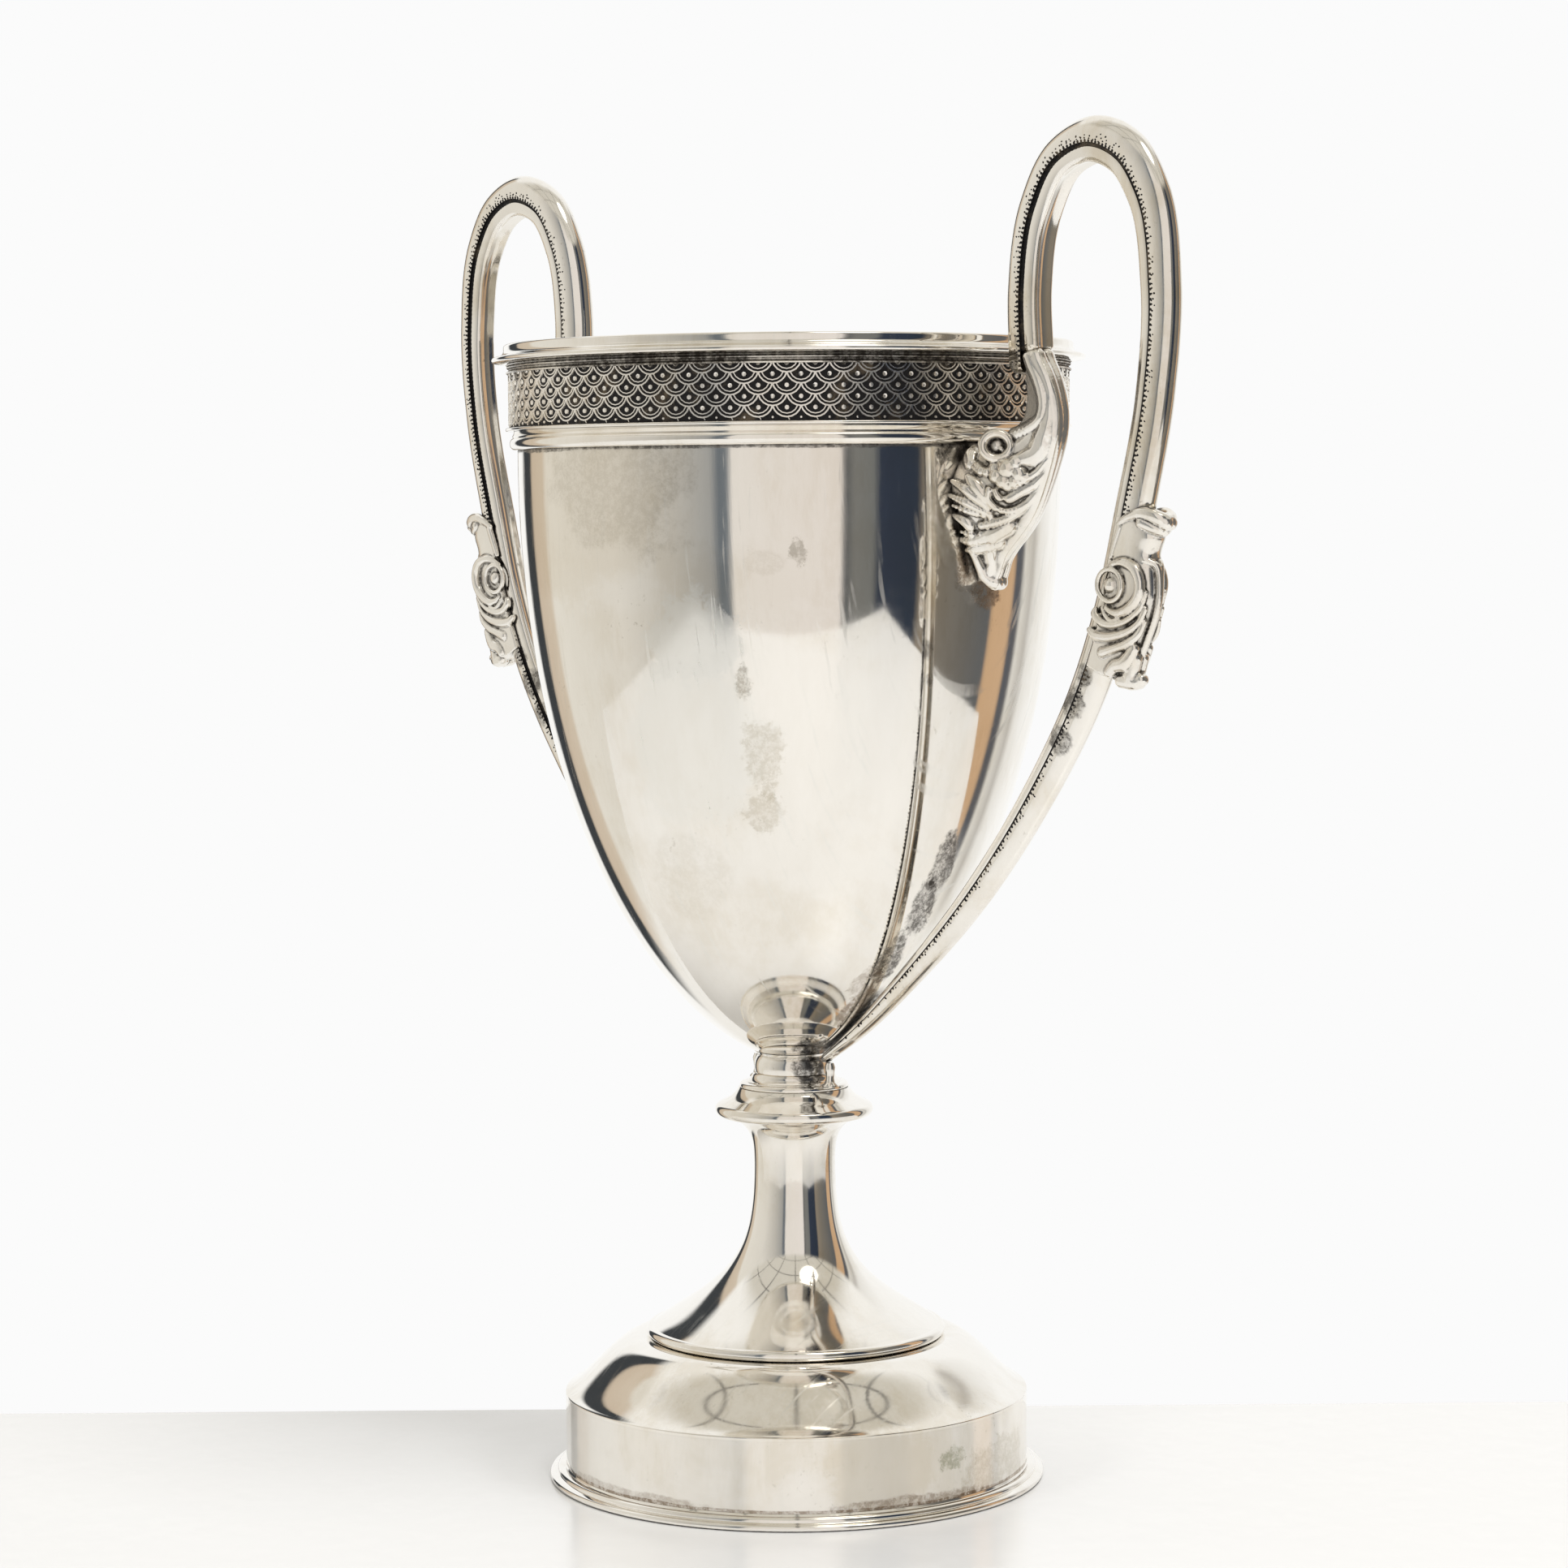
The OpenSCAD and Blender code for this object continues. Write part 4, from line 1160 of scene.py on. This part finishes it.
def scroll_strokes(bm):
    """Rolled lip, round eye with its scroll, and the strands that sweep away below."""
    mount_strokes(bm,
        ((2.6, -1.2, 3.9, 0.6), (0.6, 1.0, 4.0, 0.9), (-0.7, 3.6, 3.7, 1.2), (-1.0, 6.2, 3.0, 1.5),
         (-0.6, 8.2, 1.9, 1.7), (-0.2, 8.9, 0.0, 1.8)),
        ((0.8, 4.6, 3.6, 1.2), (1.4, 7.4, 2.0, 1.4), (1.6, 8.2, 0.3, 1.4)),
        ((3.0, -0.6, 3.8, 0.8), (7.0, -1.2, 3.7, 0.8), (10, -1.6, 3.7, 0.6)),
        ((15.6, 0.2, 4.0, 1.8),),
        ((15.4, -0.4, 4.1, 1.3), (15.8, 0.7, 4.1, 1.2)))
    ring = [(15.6 + 3.4 * cos(a), 0.3 - 3.4 * sin(a), 4.5, 0.6)
            for a in [radians(20 * i) for i in range(19)]]
    mount_strokes(bm, ring)
    mount_strokes(bm,
        ((12.6, -2.2, 4.0, 0.4), (11.0, -0.2, 4.2, 0.7), (9.9, 2.6, 4.4, 1.0),
         (10.4, 5.6, 4.3, 1.2), (12.6, 7.6, 4.1, 1.2), (15.6, 8.0, 4.0, 1.2),
         (18.4, 6.6, 4.1, 1.2), (20.3, 4.3, 4.2, 1.0), (20.8, 2.0, 4.2, 0.7),
         (20.4, 0.6, 4.2, 0.5)),
        ((14.5, 9.3, 3.0, 0.5), (17.8, 8.9, 3.4, 0.6), (20.8, 6.9, 3.8, 0.7),
         (23.0, 3.8, 4.0, 0.8), (23.8, 0.6, 4.1, 0.9), (23.0, -1.9, 4.1, 1.0),
         (21.8, -2.2, 4.0, 0.6)),
        ((20.9, -0.6, 4.0, 0.4), (22.0, 0.9, 4.2, 0.5), (22.4, 2.8, 4.2, 0.45),
         (21.4, 4.8, 4.1, 0.35)),
        ((17.6, 9.9, 2.8, 0.6), (20.8, 9.2, 3.2, 0.7), (23.6, 6.9, 3.6, 0.9),
         (25.9, 3.2, 3.9, 1.1), (27.0, -0.4, 3.9, 1.1), (26.6, -2.4, 3.8, 0.8)),
        ((20, 10.2, 2.4, 0.6), (23.0, 9.8, 3.0, 0.8), (25.6, 7.8, 3.4, 1.0), (27.8, 5.0, 3.7, 1.0),
         (29.6, 2.6, 3.8, 1.2)),
        ((26, 9.4, 2.6, 1.2), (29.4, 8.4, 3.0, 1.7), (31.0, 6.4, 3.3, 1.5), (32.6, 5.6, 3.4, 1.3)),
        ((28, 9.6, 1.6, 1.6), (31, 9.6, 1.6, 1.9), (32.8, 10.2, 1.4, 1.9)),
        ((33.4, 8.2, 1.8, 1.7), (32.6, 10.8, 1.2, 1.8), (31.6, 12.0, 0.3, 1.5)),
        ((8.4, 6.4, 2.6, 0.6), (9.0, 8.6, 1.0, 0.8), (11.4, 9.8, 0.5, 0.8), (15, 10.7, 0.4, 0.8),
         (19, 10.9, 0.4, 0.8), (23, 10.5, 0.4, 0.8), (27, 10.0, 0.4, 0.9)))


def scroll_mount():
    bm = bmesh.new()
    mount_core(bm)
    scroll_strokes(bm)
    cast("scroll_mount", bm)


# ---------------------------------------------------------------- hidden and plain pieces

def carried_over():
    """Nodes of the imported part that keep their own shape."""
    for node, finish in (("base_disc", plain_silver), ("clamp_plate", plain_silver),
                         ("tie_rod", fixing_brass), ("clamp_washer", fixing_brass),
                         ("clamp_nut", fixing_brass)):
        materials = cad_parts[node].data.materials
        materials.clear()
        materials.append(finish)


# ---------------------------------------------------------------- table, light and camera

CAMERA_TURN = radians(47)
CAMERA_PLACE = Vector((-1.768, -908.66, 221.6)) * MM
CAMERA_DOWN = radians(3.902)
CAMERA_ROLL = radians(0.436)
CAMERA_LENS = 91.17


def camera():
    """Stands before the cup and a little to its right handle's side, just under the brim."""
    data = bpy.data.cameras.new("camera")
    data.lens = CAMERA_LENS
    data.clip_start = 0.05
    data.clip_end = 50
    item = placed("camera", data)
    turn = Matrix.Rotation(CAMERA_TURN, 4, "Z")
    tilt = Matrix.Rotation(pi / 2 - CAMERA_DOWN, 4, "X")
    roll = Matrix.Rotation(-CAMERA_ROLL, 4, "Z")
    item.matrix_world = turn @ Matrix.Translation(CAMERA_PLACE) @ tilt @ roll
    bpy.context.scene.camera = item


def table():
    """Pale glossy table top that ends close behind the cup."""
    f = Finish("table_white")
    scuff = f.ramp(f.noise(30, 6, 0.7, f.stretched((1, 6, 1), (0, 0, 0.5))), 0.5, 0.7, 0.0, 0.05)
    colour = f.mix(scuff, (0.74, 0.74, 0.74, 1), (0.66, 0.66, 0.67, 1))
    dull = f.ramp(f.noise(60, 4, 0.6), 0.3, 0.7, 0.16, 0.26)
    bm = bmesh.new()
    bmesh.ops.create_grid(bm, x_segments=1, y_segments=1, size=0.5)
    bmesh.ops.scale(bm, vec=(1.16, 0.755, 1), verts=bm.verts)
    bmesh.ops.translate(bm, vec=(-0.01, -0.313, 0), verts=bm.verts)
    bmesh.ops.rotate(bm, cent=(0, 0, 0), matrix=Matrix.Rotation(CAMERA_TURN, 3, "Z"),
                     verts=bm.verts)
    mesh = mesh_of("table", bm)
    mesh.materials.append(f.shown(colour, dull))
    item = placed("table", mesh)


# Bands of the room round the cup, seen only by reflection: degrees from the camera's side,
# clockwise from above, then red, green and blue
ROOM_BANDS = [
    (-180, 1.0, 1.0, 0.99), (-155, 1.0, 1.0, 0.99), (-152, 0.05, 0.055, 0.06),
    (-142, 0.05, 0.055, 0.06), (-140, 0.62, 0.52, 0.41), (-128, 0.66, 0.57, 0.46),
    (-125, 0.80, 0.77, 0.70), (-80, 0.74, 0.71, 0.65), (-50, 0.52, 0.50, 0.46),
    (-33, 0.36, 0.36, 0.35), (-30, 0.15, 0.17, 0.19), (-26, 0.17, 0.19, 0.21),
    (-24, 0.80, 0.76, 0.71), (21, 0.82, 0.77, 0.73), (23, 0.10, 0.105, 0.11),
    (27, 0.20, 0.20, 0.19), (35, 0.18, 0.185, 0.18), (38, 0.035, 0.045, 0.07),
    (55, 0.03, 0.04, 0.06), (58, 0.26, 0.22, 0.17), (68, 0.20, 0.18, 0.15),
    (97, 0.12, 0.125, 0.13), (99, 0.60, 0.40, 0.24), (112, 0.62, 0.42, 0.26),
    (114, 0.10, 0.11, 0.13), (118, 0.12, 0.12, 0.13), (121, 0.75, 0.73, 0.68),
    (128, 0.55, 0.53, 0.50), (133, 0.85, 0.84, 0.81), (148, 1.0, 1.0, 0.99),
    (180, 1.0, 1.0, 0.99),
]


# Half a ceiling tile and the lamp's place on the ceiling, as shares of the ceiling's height
TILE_HALF = 0.22
LAMP_PLACE = (0.32, -0.42)
BACKDROP = (0.965, 0.965, 0.965, 1)


def room():
    """Light from all round: white behind the cup, bands at its front, and a bright ceiling."""
    world = bpy.data.worlds.new("room")
    bpy.context.scene.world = world
    world.use_nodes = True
    n = Nodes(world.node_tree)
    n.tree.nodes.clear()
    toward = n.add("ShaderNodeVectorRotate", {
        "Vector": n.add("ShaderNodeTexCoord").outputs["Generated"], "Angle": -CAMERA_TURN,
    }, rotation_type="Z_AXIS").outputs["Vector"]
    x, y, z = n.add("ShaderNodeSeparateXYZ", {0: toward}).outputs
    way_round = n.math("ARCTAN2", x, n.math("MULTIPLY", y, -1.0))
    bands = n.add("ShaderNodeValToRGB", {"Fac": n.math("MULTIPLY_ADD", way_round, 1 / tau, 0.5)})
    stops = bands.color_ramp.elements
    while len(stops) > 1:
        stops.remove(stops[-1])
    for i, (angle, r, g, b) in enumerate(ROOM_BANDS):
        stop = stops[0] if i == 0 else stops.new(angle / 360 + 0.5)
        stop.position = angle / 360 + 0.5
        stop.color = (r, g, b, 1)
    height = n.math("MAXIMUM", z, 0.05)
    across, deep = n.math("DIVIDE", x, height), n.math("DIVIDE", y, height)
    seam = n.math("MINIMUM", *[n.math("PINGPONG", way, TILE_HALF) for way in (across, deep)])
    tile = n.mix(n.ramp(seam, 0.006, 0.016), (0.22, 0.21, 0.19, 1), (0.66, 0.63, 0.56, 1))
    lamp = n.math("ADD", *[n.math("POWER", n.math("SUBTRACT", way, middle), 2.0)
                           for way, middle in zip((across, deep), LAMP_PLACE)])
    tile = n.mix(n.ramp(lamp, 0.06, 0.03), tile, (3.2, 3.15, 3.0, 1))
    above = n.mix(n.ramp(y, 0.10, 0.40), tile, (0.97, 0.96, 0.93, 1))
    colour = n.mix(n.ramp(z, 0.62, 0.70), bands.outputs["Color"], above)
    colour = n.mix(n.ramp(z, -0.42, -0.60), colour, (0.93, 0.92, 0.89, 1))
    seen = n.add("ShaderNodeLightPath").outputs["Is Camera Ray"]
    colour = n.mix(seen, colour, BACKDROP)
    shade = n.add("ShaderNodeBackground", {"Color": colour}).outputs["Background"]
    n.add("ShaderNodeOutputWorld", {"Surface": shade})


SOFTBOX_SIZE = 0.6
SOFTBOX_AIM = Vector((0, 0, 0.15))


def softbox(name, place, power):
    """Soft light that falls on the table and the cup, without showing as a square in the silver."""
    data = bpy.data.lights.new(name, "AREA")
    data.shape = "SQUARE"
    data.size = SOFTBOX_SIZE
    data.energy = power
    item = placed(name, data)
    at = Matrix.Rotation(CAMERA_TURN, 4, "Z") @ Vector(place)
    item.location = at
    item.visible_glossy = False
    item.rotation_mode = "QUATERNION"
    item.rotation_quaternion = (SOFTBOX_AIM - at).to_track_quat("-Z", "Y")


def light():
    softbox("top_softbox", (0.42, -0.40, 1.6), 12)
    softbox("left_softbox", (-1.5, -1.3, 1.2), 9)
    softbox("right_softbox", (1.4, -1.1, 1.3), 9)


bowl()
rim_moulding()
wire_and_shoulder()
scale_band()
stem_and_knop()
collar()
foot()
handle_shell()
handle_liner()
handle_groove()
handle_milling()
tip_post()
leaf_bracket()
scroll_mount()
carried_over()
camera()
table()
room()
light()
bpy.context.scene.view_settings.view_transform = "Standard"
